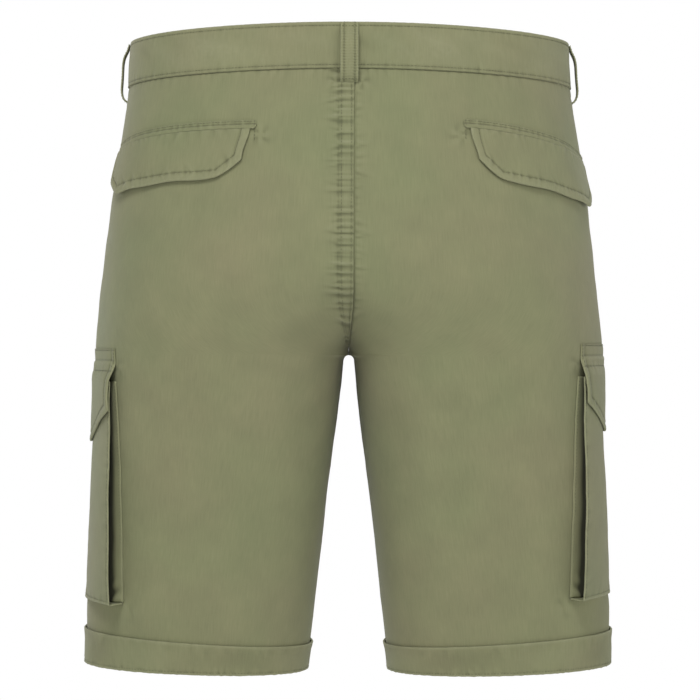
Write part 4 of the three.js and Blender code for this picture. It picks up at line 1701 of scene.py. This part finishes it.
@dataclass
class BackPockets:
    """Two back pockets, each a welt with a flap under it."""

    form: BodyForm
    welt_height: float = 6.5
    welt_depth: float = 1.4
    welt_overhang: float = 6
    end_round: float = 3.2
    outline: FlapOutline = FlapOutline(158, 39, 22, 15)
    flap_depth: float = 1.6
    stand: float = 1.0
    curl: float = 2.6
    inset: float = 6.3
    slant: float = 6.5
    box: tuple[float, float, float] = (1.8, 0.9, 14.5)
    welt_edge: float = 2.9
    places: tuple[BackPocketPlace, ...] = (
        BackPocketPlace(Side.LEFT, 79, -54.5, 13.5, 2.5),
        BackPocketPlace(Side.RIGHT, 97, -53, 24, 1.45),
    )

    def top(self, place: BackPocketPlace, from_seat: Array) -> Array:
        """Height of the pocket's top line at a distance from the seat seam."""
        share = np.maximum(0, (from_seat - place.inner) / self.outline.width)
        return place.top - place.droop * share**place.bend

    def welt_spot(self, place: BackPocketPlace, x: Array, y: Array) -> tuple[Array, Array]:
        """Points of the welt's outer face, x along it and y down it.

        Args:
            place: The pocket.
            x: Distances along it.
            y: Distances down it.

        Returns:
            The points and the outward directions.
        """
        along = place.inner - self.welt_overhang + x
        z = self.top(place, np.maximum(along, place.inner)) - y
        arc = self.form.girth(z, True) - along
        return self.form.place(place.side.value, z, arc, SEAM_GAP + self.welt_depth + self.welt_relief(x, y))

    def box_end(self, place: BackPocketPlace, y: Array) -> tuple[Array, Array]:
        """The sewn line that turns down at the pocket's inner end and runs on over the panel.

        Args:
            place: The pocket.
            y: Distances down it.

        Returns:
            The points and the outward directions.
        """
        along = place.inner - self.welt_overhang + self.box[0]
        z = self.top(place, place.inner) - y
        on_welt = SEAM_GAP + self.welt_depth + self.welt_relief(np.full_like(y, self.box[0]), y)
        lift = np.where(y < self.welt_height - 0.5, on_welt, 0.7)
        return self.form.place(place.side.value, z, self.form.girth(z, True) - along, lift)

    def welt_step(self, y: Array) -> Array:
        """How much lower the welt lies above its raised edge."""
        return 0.5 * (1 - ramp(y, self.welt_edge - 0.6, self.welt_edge + 0.6))

    def welt_relief(self, x: Array, y: Array) -> Array:
        """Fine form of the welt.

        Args:
            x: Distances along it.
            y: Distances down it.

        Returns:
            The relief at each place.
        """
        total = -0.5 * ridge(y, self.welt_edge, 0.55) - self.welt_step(y)
        total = total - 0.25 * ridge(y, self.box[1], 0.5) - 0.3 * ridge(x, self.box[0], 0.6)
        return total + Puckers(165, 5.5, 0.35, 1.4, 5, 0.5, 31).relief(x, np.abs(y - 1.5))

    def flap_lift(self, place: BackPocketPlace, x: Array, y: Array) -> Array:
        """How far the flap's underside stands off the panel.

        Args:
            place: The pocket.
            x: Distances along it.
            y: Distances down it.

        Returns:
            The distance at each place.
        """
        v, u = y / self.outline.height, x / self.outline.width
        wave = 0.5 * np.sin(x / 11 + place.inner) * v**2
        return 2 * SEAM_GAP + v * (self.stand + self.curl * u**3) + wave * 0.6 + 0.3 * v

    def flap_relief(self, place: BackPocketPlace, x: Array, y: Array) -> Array:
        """Fine form of the flap's outer face.

        Args:
            place: The pocket.
            x: Distances along it.
            y: Distances down it.

        Returns:
            The relief at each place.
        """
        edge = self.outline.edge_distance(x, y)
        total = -0.5 * ridge(edge, self.inset, 0.9) + 0.4 * ridge(edge, 2.6, 2)
        seed = 33 + int(place.inner)
        total = total + Puckers(165, 5.5, 0.55, 1.4, 6, 0.9, seed).relief(x, np.abs(edge - self.inset + 1))
        return total + Puckers(165, 8, 0.45, 1.9, 7, 0.6, seed + 1).relief(x, y)

    def flap_spot(self, place: BackPocketPlace, x: Array, y: Array, depth: float) -> tuple[Array, Array]:
        """Points of the flap, depth off its underside, x along it and y down it.

        Args:
            place: The pocket.
            x: Distances along it.
            y: Distances down it.
            depth: Distance off the underside.

        Returns:
            The points and the outward directions.
        """
        share = x / self.outline.width
        straight = self.outline.height - self.outline.cut_high
        lean = self.slant * (1 - share) ** 3 * np.minimum(1, y / straight)
        along = place.inner + x + lean + 0.5 * np.sin(y / 4 + place.inner) * (1 - share) ** 6
        low = (y / self.outline.height) ** 3
        wave = 0.4 * np.sin(x / 6.5 + place.inner + np.sin(x / 23)) * low
        z = self.top(place, along) - self.welt_height - SEAM_GAP - y + wave
        arc = self.form.girth(z, True) - along
        lift = self.flap_lift(place, x, y) + depth
        if depth > 0:
            lift = lift + self.flap_relief(place, x, y)
        return self.form.place(place.side.value, z, arc, lift)

    def build(self, finishes: Finishes, tree: StitchTree) -> None:
        """Makes, dresses and sews both pockets.

        Args:
            finishes: The finishes.
            tree: The tree that sets the stitches.
        """
        outline = self.outline
        sewn = Stitches("back_pocket_stitches", tree, finishes.thread, seed=6)
        for place in self.places:
            width = outline.width
            x = graded(width, 0.8, 1.3, 10, 2)[None, :] * width
            half = self.welt_height / 2
            tip = np.sqrt(1 - np.clip(1 - x / self.end_round, 0, 1) ** 2)
            v = np.linspace(-1, 1, 13)[:, None]
            y = half + v * half * np.maximum(tip, 0.08)
            outer, normal = self.welt_spot(place, x, y)
            bulk = self.welt_depth + self.welt_relief(x, y)
            inner = outer - normal * bulk[..., None]
            # Painted shade in the welt's grooves and pucker troughs; its top and bottom edges and its ridges
            # are rubbed pale.
            wear_and_shade = ridge_wear_and_trough_shade(1.4 * (self.welt_relief(x, y) + self.welt_step(y))) + 0.4 * ridge(np.abs(v), 1, 0.15)
            welt = ClothMesh(outer, inner, wear_and_shade, rim=(0.4, 0.4, 0.1, 0.2))
            dress_cloth(f"back_welt_{place.side.word}", welt, finishes.cotton)
            end, row, bottom = self.box
            line = np.linspace(end, width - 2, 110)
            sewn.sew(*self.welt_spot(place, line, np.full_like(line, row)))
            sewn.sew(*self.box_end(place, np.linspace(row, bottom, 18)))
            x = graded(width, 0.9, 1.3, 6, 6)[None, :] * width
            y = np.linspace(0, 1, 37)[:, None] * outline.drop(x)
            outer, _ = self.flap_spot(place, x, y, self.flap_depth)
            inner, _ = self.flap_spot(place, x, y, 0)
            edge = outline.edge_distance(x, y)
            # Painted shade in the stitch groove and pucker troughs; the edges and ridges are rubbed pale.
            wear_and_shade = 0.55 * ridge(edge, 0, 1.2) + ridge_wear_and_trough_shade(self.flap_relief(place, x, y))
            flap = ClothMesh(outer, inner, wear_and_shade, rim=(0.1, 0.7, 0.8, 0.7))
            dress_cloth(f"back_flap_{place.side.word}", flap, finishes.cotton)
            x, y = outline.inset_line(self.inset, 1)
            sewn.sew(*self.flap_spot(place, x, y, self.flap_depth))
        sewn.build()


@dataclass(frozen=True)
class CargoPlace:
    """A cargo pocket: how far it is set back and how far up, and its flap's outline."""

    side: Side
    shift: float
    rise: float
    flap: FlapOutline


@dataclass
class CargoPockets:
    """Bellows pockets over the side seams: a face, a pleated gusset at each side, and a flap."""

    form: BodyForm
    places: tuple[CargoPlace, ...] = (
        CargoPlace(Side.LEFT, 0, 0, FlapOutline(175, 66, 57, 28, 3.0, 6.0)),
        CargoPlace(Side.RIGHT, 3, 5, FlapOutline(171, 61.5, 55, 26, 3.0, 6.0)),
    )
    half_top: float = 85
    half_bottom: float = 82.5
    top_z: float = -260
    bottom_z: float = -438
    mid_lift: float = 0.5
    bow: float = 2.4
    edge_lifts: tuple[tuple[float, float], ...] = (
        (-260, 5),
        (-275, 6.8),
        (-300, 8.5),
        (-325, 11),
        (-354, 13.5),
        (-391, 15.5),
        (-425, 17),
        (-438, 17),
    )
    gusset_foot: tuple[float, float] = (1.8, 0.6)
    gusset_lip: float = 3.0
    gusset_reach: float = 15
    gusset_depth: float = 1.1
    flap_top_z: float = -244
    flap_clear: float = 0.6
    flap_depth: float = 1.3
    flap_flare: float = 1.2
    flap_wave: float = 1.1
    band: float = 10.0
    band_row: float = -8.8
    flap_row: float = 7.5
    inset: float = 6.3

    def half(self, z: Array) -> Array:
        """Half the pocket's width at a height."""
        return mix(self.half_top, self.half_bottom, (self.top_z - z) / (self.top_z - self.bottom_z))

    def lift(self, z: Array, arc: Array) -> Array:
        """How far the face's underside stands off the leg."""
        edge = smooth_table(self.edge_lifts, 1, z)
        return mix(self.mid_lift, edge, np.abs(arc / self.half(z)) ** self.bow)

    def face_relief(self, place: CargoPlace, z: Array, arc: Array) -> Array:
        """Fine form of the face.

        Args:
            place: The pocket.
            z: Heights.
            arc: Arcs from the side seam.

        Returns:
            The relief at each place.
        """
        edge = self.half(z) - np.abs(arc)
        low = z - self.bottom_z
        seed = 51 + place.side.value
        total = -0.3 * ridge(edge, 2, 0.8) + 0.15 * ridge(edge, 0.4, 1.2)
        total = total + Puckers(180, 8, 0.4, 2.2, 10, 0.5, seed).relief(self.top_z - z, edge)
        total = total + Puckers(160, 9, 0.4, 2.4, 12, 0.5, seed + 4).relief(arc + 80, low)
        return total - 0.3 * ridge(low, 2.4, 0.8)

    def face(self, place: CargoPlace) -> ClothMesh:
        """Works out a face. Its lower edge turns in to the leg.

        Args:
            place: The pocket.

        Returns:
            The cloth.
        """
        u = mix(-1, 1, graded(160, 1.0, 2.0, 8, 8))[None, :]
        z = mix(self.top_z, self.bottom_z, graded(178, 1.0, 1.8, 2, 8))[:, None]
        arc = u * self.half(z)
        relief = self.face_relief(place, z, arc)
        under = self.lift(z, arc)
        turn = np.linspace(0, 1, 9)[1:, None]
        low_arc = u * self.half(self.bottom_z) + 0 * turn
        low_out = mix(under[-1:] + POCKET_CLOTH + relief[-1:], SEAM_GAP, turn)
        low_in = mix(under[-1:], SEAM_GAP, turn)
        drop = self.bottom_z - POCKET_CLOTH * (0.4 + 0.6 * np.sin(np.pi / 2 * turn)) + 0 * low_arc
        side, rise, shift = place.side.value, place.rise, place.shift
        full_z = np.concatenate([z + 0 * arc, drop])
        full_arc = np.concatenate([arc, low_arc])
        full_out = np.concatenate([under + POCKET_CLOTH + relief, low_out])
        inner_z = np.concatenate([z + 0 * arc, self.bottom_z + 0 * low_arc])
        full_in = np.concatenate([under, low_in])
        outer, _ = self.form.place(side, full_z + rise, full_arc + shift, full_out)
        inner, _ = self.form.place(side, inner_z + rise, full_arc + shift, full_in)
        edge = self.half(full_z) - np.abs(full_arc)
        # The edges and the lower fold are rubbed pale; painted shade in the grooves and pucker troughs.
        worn_and_shaded = 0.8 * ridge(edge, 0, 1.3) + 0.7 * ridge(full_z, self.bottom_z, 1.6)
        worn_and_shaded = worn_and_shaded + ridge_wear_and_trough_shade(np.concatenate([relief, np.zeros_like(low_out)]))
        return ClothMesh(outer, inner, worn_and_shaded, rim=(0.4, 0.4, 0.1, 0.4))

    def gusset(self, place: CargoPlace, back: bool) -> ClothMesh:
        """Works out a gusset: in under the face from its sewn edge, folded, and out to the face.

        Args:
            place: The pocket.
            back: Whether it is the back.

        Returns:
            The cloth.
        """
        sign = 1 if back else -1
        down = np.linspace(0, 1, 120)[:, None]
        z = mix(self.top_z, self.bottom_z + SEAM_GAP, down)
        wide = self.half(z)
        foot = wide + mix(*self.gusset_foot, down)
        lip = wide - self.gusset_lip
        fold = wide - self.gusset_reach
        middle = wide - self.gusset_reach / 2
        low = SEAM_GAP
        roof = self.lift(z, wide) - 2 * SEAM_GAP
        slack = np.maximum(0, roof - low - 3 * self.gusset_depth) / 6
        hinge = (low + self.lift(z, fold) - 2 * SEAM_GAP) / 2
        thick = self.gusset_depth
        lower = ((foot, low), (middle, low + slack), (fold, hinge))
        upper = ((middle, self.lift(z, middle) - 2 * SEAM_GAP - slack / 2), (lip, roof))
        stations = np.array([0, 0.25, 0.5, 0.75, 1])
        even = np.linspace(0, 1, 29)[None, :]
        leg_side = [*lower, *upper]
        face_side = [(foot, low + thick), (middle, low + slack + thick), (fold + thick, hinge),
                     (middle, upper[0][1] - thick), (lip, roof - thick)]
        gather = ramp(z, self.bottom_z + 24, self.bottom_z) * np.sin(np.pi * np.clip(3 * even, 0, 1))
        gathers = np.sin(z / 2.1 + 9 * even)
        grids = []
        for path in (face_side, leg_side):
            arcs = np.concatenate([p[0] + 0 * z for p in path], 1)
            lifts = np.concatenate([p[1] + 0 * z for p in path], 1)
            arc = self.curve(stations, arcs, even)
            lift = self.curve(stations, lifts, even)
            wave = 0.9 * np.sin(z / 9 + 2 * np.sin(z / 31)) * np.sin(np.pi * even) ** 2
            lift = lift + 0.8 * gather * (1 + gathers)
            arc = sign * (arc + wave) + place.shift
            grids.append(self.form.place(place.side.value, z + place.rise, arc, lift)[0])
        # Painted shade deep in the pleat and in the gathers' troughs; the sewn edge and the gathers' ridges are
        # rubbed pale.
        wear_and_shade = 0.4 * ridge(even, 0, 0.04) - 1.15 * ramp(even, 0.12, 0.3) + 0.6 * gather * gathers
        return ClothMesh(grids[0], grids[1], wear_and_shade, rim=(0.1, 0.3, 0.1, 0.1))

    @staticmethod
    def curve(stations: Array, values: Array, at: Array) -> Array:
        """Reads a smooth curve through a few values in each row.

        Args:
            stations: Where the values are.
            values: The values, a row for each curve.
            at: Where to read them.

        Returns:
            The values there, rows by places.
        """
        i = np.clip(np.searchsorted(stations, at[0], side="right") - 1, 0, len(stations) - 2)
        t = (at[0] - stations[i]) / (stations[i + 1] - stations[i])
        before, after = 2 * values[:, :1] - values[:, 1:2], 2 * values[:, -1:] - values[:, -2:-1]
        padded = np.concatenate([before, values, after], 1)
        p0, p1, p2, p3 = (padded[:, i + k] for k in range(4))
        bend = (2 * p0 - 5 * p1 + 4 * p2 - p3) * t**2 + (3 * p1 - p0 - 3 * p2 + p3) * t**3
        return 0.5 * (2 * p1 + (p2 - p0) * t + bend)

    def flap_relief(self, place: CargoPlace, x: Array, y: Array) -> Array:
        """Fine form of the flap's outer face.

        Args:
            place: The pocket.
            x: Distances along it.
            y: Distances down it.

        Returns:
            The relief at each place.
        """
        edge = place.flap.edge_distance(x, y)
        seed = 61 + place.side.value
        total = -0.5 * ridge(edge, self.inset, 0.9) - 0.4 * ridge(y, self.flap_row, 0.8)
        total = total - 0.3 * ridge(y, self.band_row, 0.7)
        total = total + Puckers(165, 6.5, 0.5, 1.6, 6, 0.8, seed).relief(x, np.abs(edge - self.inset + 1))
        return total + Puckers(165, 7, 0.4, 1.8, 7, 0.5, seed + 4).relief(x, np.abs(y - self.flap_row))

    def flap_spot(self, place: CargoPlace, x: Array, y: Array, depth: float) -> tuple[Array, Array]:
        """Points of the flap, depth off its underside, x along it and y down it.

        Args:
            place: The pocket.
            x: Distances along it.
            y: Distances down it.
            depth: Distance off the underside.

        Returns:
            The points and the outward directions.
        """
        outline = place.flap
        aside = 2 * x / outline.width - 1
        wave = self.flap_wave * np.sin(y / 5 + place.rise + np.sin(y / 9)) * ramp(y, 4, 14)
        arc = x - outline.width / 2 + wave * aside**5
        z = self.flap_top_z - y
        on_face = self.lift(z, arc) + POCKET_CLOTH + self.flap_clear
        lift = mix(SEAM_GAP, on_face, ramp(z, self.flap_top_z, self.top_z))
        lift = lift + 0.5 * np.maximum(0, self.face_relief(place, z, arc)) * (z < self.top_z)
        lift = lift + self.flap_flare * ramp(np.abs(aside), 0.55, 1) * ramp(y, 8, 30)
        if depth > 0:
            edge = outline.edge_distance(x, y)
            fold = y - outline.rise(x)
            lift = lift + depth * mix(0.4, 1, ramp(fold, -0.5, 0.7))
            lift = lift + 0.4 * ridge(fold, 2.4, 2) + 0.5 * ridge(edge, 2, 2)
            lift = lift + self.flap_relief(place, x, y)
        return self.form.place(place.side.value, z + place.rise, arc + place.shift, lift)

    def build(self, finishes: Finishes, tree: StitchTree) -> None:
        """Makes, dresses and sews both pockets.

        Args:
            finishes: The finishes.
            tree: The tree that sets the stitches.
        """
        sewn = Stitches("cargo_pocket_stitches", tree, finishes.thread, seed=7)
        for place in self.places:
            outline = place.flap
            word = place.side.word
            dress_cloth(f"cargo_face_{word}", self.face(place), finishes.cotton)
            for back in (True, False):
                node = f"cargo_gusset_{'back' if back else 'front'}_{word}"
                dress_cloth(node, self.gusset(place, back), finishes.cotton)
            x = graded(outline.width, 1.0, 1.8, 8, 8)[None, :] * outline.width
            y = mix(-self.band, outline.drop(x), np.linspace(0, 1, 78)[:, None])
            outer, _ = self.flap_spot(place, x, y, self.flap_depth)
            inner, _ = self.flap_spot(place, x, y, 0)
            fold = y - outline.rise(x)
            edge = outline.edge_distance(x, y)
            wear_and_shade = 0.6 * ridge(edge, 0, 1.2) * (y > 0)
            # The fold's edge is rubbed pale, with painted shade in the crease just above it; painted shade in
            # the stitch grooves and pucker troughs too.
            wear_and_shade = wear_and_shade + 0.35 * ridge(fold, 1, 1) - 0.35 * ridge(fold, -1, 0.8)
            wear_and_shade = wear_and_shade + ridge_wear_and_trough_shade(self.flap_relief(place, x, y))
            flap = ClothMesh(outer, inner, wear_and_shade, rim=(0.3, 0.7, 0.8, 0.7))
            dress_cloth(f"cargo_flap_{word}", flap, finishes.cotton)
            sewn.sew(*self.flap_spot(place, *outline.inset_line(self.inset, 9), self.flap_depth))
            for row in (self.band_row, self.flap_row):
                line = np.linspace(1.5, outline.width - 1.5, 110)
                sewn.sew(*self.flap_spot(place, line, np.full_like(line, row), self.flap_depth))
            for end in (1.5, outline.width - 1.5):
                line = np.linspace(self.band_row, 4, 12)
                sewn.sew(*self.flap_spot(place, np.full_like(line, end), line, self.flap_depth))
            self.sew_face(place, sewn)
        sewn.build()

    def sew_face(self, place: CargoPlace, sewn: Stitches) -> None:
        """Sews the face's side and lower edges, and the gussets down to the leg.

        Args:
            place: The pocket.
            sewn: The rows that its own are added to.
        """
        z = np.linspace(self.top_z - 4, self.bottom_z + 2, 120)
        for sign in (-1, 1):
            arc = sign * (self.half(z) - 2)
            lift = self.lift(z, arc) + POCKET_CLOTH + self.face_relief(place, z, arc)
            sewn.sew(*self.form.place(place.side.value, z + place.rise, arc + place.shift, lift))
            down = (self.top_z - z) / (self.top_z - self.bottom_z)
            foot = sign * (self.half(z) + mix(*self.gusset_foot, down) - 1.6)
            lift = SEAM_GAP + self.gusset_depth + 0.05
            sewn.sew(*self.form.place(place.side.value, z + place.rise, foot + place.shift, lift))
        arc = np.linspace(-1, 1, 110) * (self.half(self.bottom_z) - 2)
        z = np.full_like(arc, self.bottom_z + 2.4)
        lift = self.lift(z, arc) + POCKET_CLOTH + self.face_relief(place, z, arc)
        sewn.sew(*self.form.place(place.side.value, z + place.rise, arc + place.shift, lift))


@dataclass
class Cuffs:
    """Turned-up hems that go right round the legs."""

    panels: Panels
    side_top_z: float = -464
    inner_top_z: float = -476
    depth: float = 1.3
    rows: int = 22
    flare: float = 0.7
    hem_row: float = 1.6

    def spots(self, side: Side, down: Array, u: Array, back: bool) -> tuple[Array, Array]:
        """Height and arc of places on a cuff, down being a share from its top to the hem.

        Args:
            side: The side.
            down: Shares of the way down.
            u: Shares of the way to the middle.
            back: Whether it is the back.

        Returns:
            The heights and the arcs.
        """
        panels = self.panels
        side_z = mix(self.side_top_z, panels.hem_side_z - SEAM_GAP, down)
        inner_z = mix(self.inner_top_z, panels.hem_inner_z - SEAM_GAP, down)
        z, run, _ = panels.spots(side, back, side_z, inner_z, u)
        return z, (1 if back else -1) * run

    def ring(self, side: Side, down: Array, u: Array) -> tuple[Array, Array]:
        """Places all round a cuff: the back from the side seam, then the front back to it.

        Args:
            side: The side.
            down: Shares of the way down.
            u: Shares of the way to the middle.

        Returns:
            The heights and the arcs.
        """
        back_z, back_arc = self.spots(side, down, u, True)
        front_z, front_arc = self.spots(side, down, u, False)
        z = np.concatenate([back_z, front_z[:, ::-1]], 1)
        return z, np.concatenate([back_arc, front_arc[:, ::-1]], 1)

    def relief(self, side: Side, along: Array, down: Array) -> Array:
        """Fine form of a cuff's outer face, down being a share of its height.

        Args:
            side: The side.
            along: Distances along it.
            down: Shares of the way down.

        Returns:
            The relief at each place.
        """
        low = (1 - down) * 24
        seed = 81 + side.value
        total = self.flare * ramp(down, 0.35, 0) - 0.3 * ridge(low, self.hem_row, 0.8)
        total = total + Puckers(640, 3.6, 0.6, 0.9, 5.5, 0.35, seed).relief(along, low)
        total = total + Puckers(640, 11, 0.3, 2.4, 10, 0.6, seed + 3).relief(along, 24 - low)
        return total + 0.2 * np.sin(along / 15 + 1.5 * np.sin(along / 47)) * np.sin(np.pi * down)

    def build(self, finishes: Finishes, tree: StitchTree) -> None:
        """Makes, dresses and sews both cuffs.

        Args:
            finishes: The finishes.
            tree: The tree that sets the stitches.
        """
        form = self.panels.form
        sewn = Stitches("cuff_stitches", tree, finishes.thread, pitch=2.6, length=1.9, seed=8)
        for side in Side:
            down = np.linspace(0, 1, self.rows + 1)[:, None]
            u = graded(165, 1.2, 1.5, 4, 4)[None, :]
            z, arc = self.ring(side, down, u)
            line = form.surface(side.value, z[0], arc[0])
            along = distances(line)
            relief = self.relief(side, along, down)
            outer, _ = form.place(side.value, z, arc, SEAM_GAP + self.depth + relief)
            inner, _ = form.place(side.value, z, arc, SEAM_GAP + 0.6 * self.flare * ramp(down, 0.3, 0))
            # Both edges are rubbed pale; painted shade in the stitch groove and in the troughs of the puckers
            # and waves.
            wear_and_shade = 0.5 * ridge(down, 0, 0.05) + 0.5 * ridge(down, 1, 0.06)
            wear_and_shade = wear_and_shade + ridge_wear_and_trough_shade(relief - self.flare * ramp(down, 0.35, 0))
            cloth = ClothMesh(outer, inner, wear_and_shade, rim=(0.7, 0, 0.9, 0), ring=True)
            node = f"cuff_{side.word}"
            dress_cloth(node, cloth, finishes.cotton)
            share = np.array([[1 - self.hem_row / 24]])
            z, arc = self.ring(side, share, u)
            lift = SEAM_GAP + self.depth + self.relief(side, along, share)[0]
            points, normal = form.place(side.value, z[0], arc[0], lift)
            sewn.sew(np.concatenate([points, points[:1]]), np.concatenate([normal, normal[:1]]))
        sewn.build()


@dataclass
class WaistButton:
    """A moulded button with a rim, a sunk middle and four holes, sewn on with crossed threads."""

    band: Waistband
    from_middle: float = 10
    clear: float = 0.5
    profile: tuple[tuple[float, float], ...] = (
        (0.0, 0.0),
        (6.6, 0.0),
        (7.6, 0.3),
        (8.3, 0.9),
        (8.5, 1.4),
        (8.4, 2.0),
        (8.0, 2.45),
        (7.4, 2.6),
        (6.7, 2.5),
        (6.1, 2.15),
        (5.4, 1.9),
        (4.4, 1.8),
        (0.0, 1.8),
    )
    segments: int = 56
    hole_radius: float = 0.95
    hole_reach: float = 2.0

    def place(self) -> Matrix:
        """The button's place: its axis points out of the waistband.

        Returns:
            Its place, which also turns millimetres into metres.
        """
        form = self.band.form
        z = form.waist_line(0.0, 1, False)
        arc = -(form.girth(z, False) - self.from_middle)
        lift = self.band.proud + self.band.cloth_depth + self.band.lap_clear + self.clear
        point, normal = form.place(1, z, arc, lift)
        turn = Vector(normal).to_track_quat("Z", "Y").to_matrix().to_4x4()
        return Matrix.Translation(Vector(point) * MM) @ turn @ Matrix.Scale(MM, 4)

    def blank(self) -> bpy.types.Object:
        """The button before its holes are drilled.

        Returns:
            The blank.
        """
        angle = np.linspace(0, 2 * np.pi, self.segments, endpoint=False)
        points = [(0.0, 0.0, 0.0)]
        for radius, height in self.profile[1:-1]:
            points += [(radius * math.cos(a), radius * math.sin(a), height) for a in angle]
        points.append((0.0, 0.0, self.profile[-1][1]))
        n, faces = self.segments, []
        for k in range(len(self.profile) - 3):
            for i in range(n):
                a, b = 1 + k * n + i, 1 + k * n + (i + 1) % n
                faces.append((a, b, b + n, a + n))
        first = 1 + (len(self.profile) - 3) * n
        faces += [(0, 1 + (i + 1) % n, 1 + i) for i in range(n)]
        faces += [(first + i, first + (i + 1) % n, len(points) - 1) for i in range(n)]
        mesh = bpy.data.meshes.new("button_blank")
        mesh.from_pydata(points, [], faces)
        return new_object("button_blank", mesh)

    def drilled(self, blank: bpy.types.Object) -> bpy.types.Mesh:
        """The button's mesh with its four holes.

        Args:
            blank: The button.

        Returns:
            The mesh.
        """
        bpy.context.view_layer.update()
        drills = []
        for x, y in ((1, 1), (1, -1), (-1, 1), (-1, -1)):
            spot = (x * self.hole_reach, y * self.hole_reach, 1)
            bpy.ops.mesh.primitive_cylinder_add(vertices=20, radius=self.hole_radius, depth=6, location=spot)
            drill = bpy.context.object
            drills.append(drill)
            cut = blank.modifiers.new("hole", "BOOLEAN")
            cut.object = drill
            cut.operation = "DIFFERENCE"
            cut.solver = "EXACT"
        return as_mesh(blank, *drills)

    def build(self, finishes: Finishes) -> None:
        """Makes and dresses the button and its thread.

        Args:
            finishes: The finishes.
        """
        matrix = self.place()
        mesh = self.drilled(self.blank())
        mesh.transform(matrix)
        mesh.materials.clear()
        mesh.materials.append(finishes.button)
        mesh.shade_smooth()
        mesh.set_sharp_from_angle(angle=math.radians(40))
        button = new_object("waist_button_moulding", mesh)
        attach(button, "root")
        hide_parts("waist_button")
        self.sew_on(matrix, finishes)
        LOG.info("%s: %d faces", button.name, len(mesh.polygons))

    def sew_on(self, matrix: Matrix, finishes: Finishes) -> None:
        """Makes the two bundles of thread that cross the button between its holes.

        Args:
            matrix: The button's place.
            finishes: The finishes.
        """
        curve = bpy.data.curves.new("button_thread", "CURVE")
        curve.dimensions = "3D"
        curve.bevel_depth = 0.22
        curve.bevel_resolution = 2
        for y in (-1, 1):
            for k in (-0.45, 0, 0.45):
                spline = curve.splines.new("POLY")
                steps = 14
                spline.points.add(steps)
                for i in range(steps + 1):
                    t = i / steps
                    x = mix(-1.0, 1.0, t) * self.hole_reach
                    height = mix(0.6, 2.15, math.sin(math.pi * t) ** 0.35)
                    beside = k * (1 - 0.3 * math.cos(math.pi * t))
                    spline.points[i].co = (x, y * self.hole_reach + beside, height, 1)
        mesh = as_mesh(new_object("button_thread_line", curve))
        mesh.transform(matrix)
        mesh.materials.clear()
        mesh.materials.append(finishes.thread)
        mesh.shade_smooth()
        thread = new_object("waist_button_thread", mesh)
        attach(thread, "root")


@dataclass
class Studio:
    """A pale floor, soft lights all round, and a camera behind the shorts. Sizes in metres."""

    distance: float = 2.3
    height: float = -0.2344
    sideways: float = -0.00108
    lens: float = 142.5
    roll: float = math.radians(0.17)
    floor_z: float = -0.8
    floor_radius: float = 2.15
    floor_color: tuple[float, float, float, float] = (0.93, 0.93, 0.92, 1)
    sky_high: float = 0.2
    sky_low: float = 1.0
    sky_band: tuple[float, float] = (0.14, 0.3)
    lights: tuple[tuple[str, tuple[float, float, float], float, float], ...] = (
        ("key_back", (0.55, 2.2, 2.1), 1.3, 50),
        ("fill_back", (-1.6, 2.2, 0.4), 1.6, 11),
        ("key_front", (-0.55, -2.2, 2.1), 1.3, 50),
        ("fill_front", (1.6, -2.2, 0.4), 1.6, 11),
    )

    def camera(self) -> None:
        """Sets the camera at the photograph's viewing angle."""
        data = bpy.data.cameras.new("camera")
        data.lens = self.lens
        data.sensor_width = 36
        made = new_object("camera", data)
        turn = Matrix.Rotation(math.pi, 4, "Z") @ Matrix.Rotation(math.pi / 2, 4, "X")
        turn = turn @ Matrix.Rotation(self.roll, 4, "Z")
        made.matrix_world = Matrix.Translation((self.sideways, self.distance, self.height)) @ turn
        bpy.context.scene.camera = made

    def floor(self) -> None:
        """Lays the floor."""
        bpy.ops.mesh.primitive_circle_add(vertices=96, radius=self.floor_radius, fill_type="NGON",
                                          location=(0, 0, self.floor_z))
        floor = bpy.context.object
        floor.name = "floor"
        material = bpy.data.materials.new("pale_floor")
        material.use_nodes = True
        shader = material.node_tree.nodes["Principled BSDF"]
        shader.inputs["Base Color"].default_value = self.floor_color
        shader.inputs["Roughness"].default_value = 0.9
        floor.data.materials.append(material)

    def light(self) -> None:
        """Hangs the lights, each aimed at the middle of the shorts, and sets the pale sky."""
        for name, spot, size, power in self.lights:
            data = bpy.data.lights.new(name, "AREA")
            data.shape = "DISK"
            data.size = size
            data.energy = power
            made = new_object(name, data)
            made.location = spot
            aim = Vector((0, 0, self.height)) - Vector(spot)
            made.rotation_euler = aim.to_track_quat("-Z", "Y").to_euler()
        world = bpy.data.worlds.new("sky")
        world.use_nodes = True
        background = world.node_tree.nodes["Background"]
        background.inputs["Color"].default_value = (1, 1, 1, 1)
        w = Wiring(world.node_tree)
        space = w.node("ShaderNodeTexCoord").outputs["Generated"]
        height = w.node("ShaderNodeSeparateXYZ", {"Vector": space}).outputs["Z"]
        strength = w.between(height, *self.sky_band, self.sky_low, self.sky_high)
        world.node_tree.links.new(strength, background.inputs["Strength"])
        bpy.context.scene.world = world
        bpy.context.scene.view_settings.view_transform = "Standard"

    def build(self) -> None:
        """Sets up the whole studio."""
        self.camera()
        self.floor()
        self.light()


def main() -> None:
    """Builds the garment piece by piece."""
    logging.basicConfig(level=logging.INFO, format="%(message)s")
    Studio().build()
    finishes = Finishes.made()
    tree = StitchTree()
    form = BodyForm()
    panels = Panels(form)
    band = Waistband(form)
    panels.build(finishes, tree)
    band.build(finishes, tree)
    BeltLoops(form).build(finishes, tree)
    BackPockets(form).build(finishes, tree)
    CargoPockets(form).build(finishes, tree)
    Cuffs(panels).build(finishes, tree)
    WaistButton(band).build(finishes)
    bpy.context.view_layer.update()


if __name__ == "__main__":
    main()
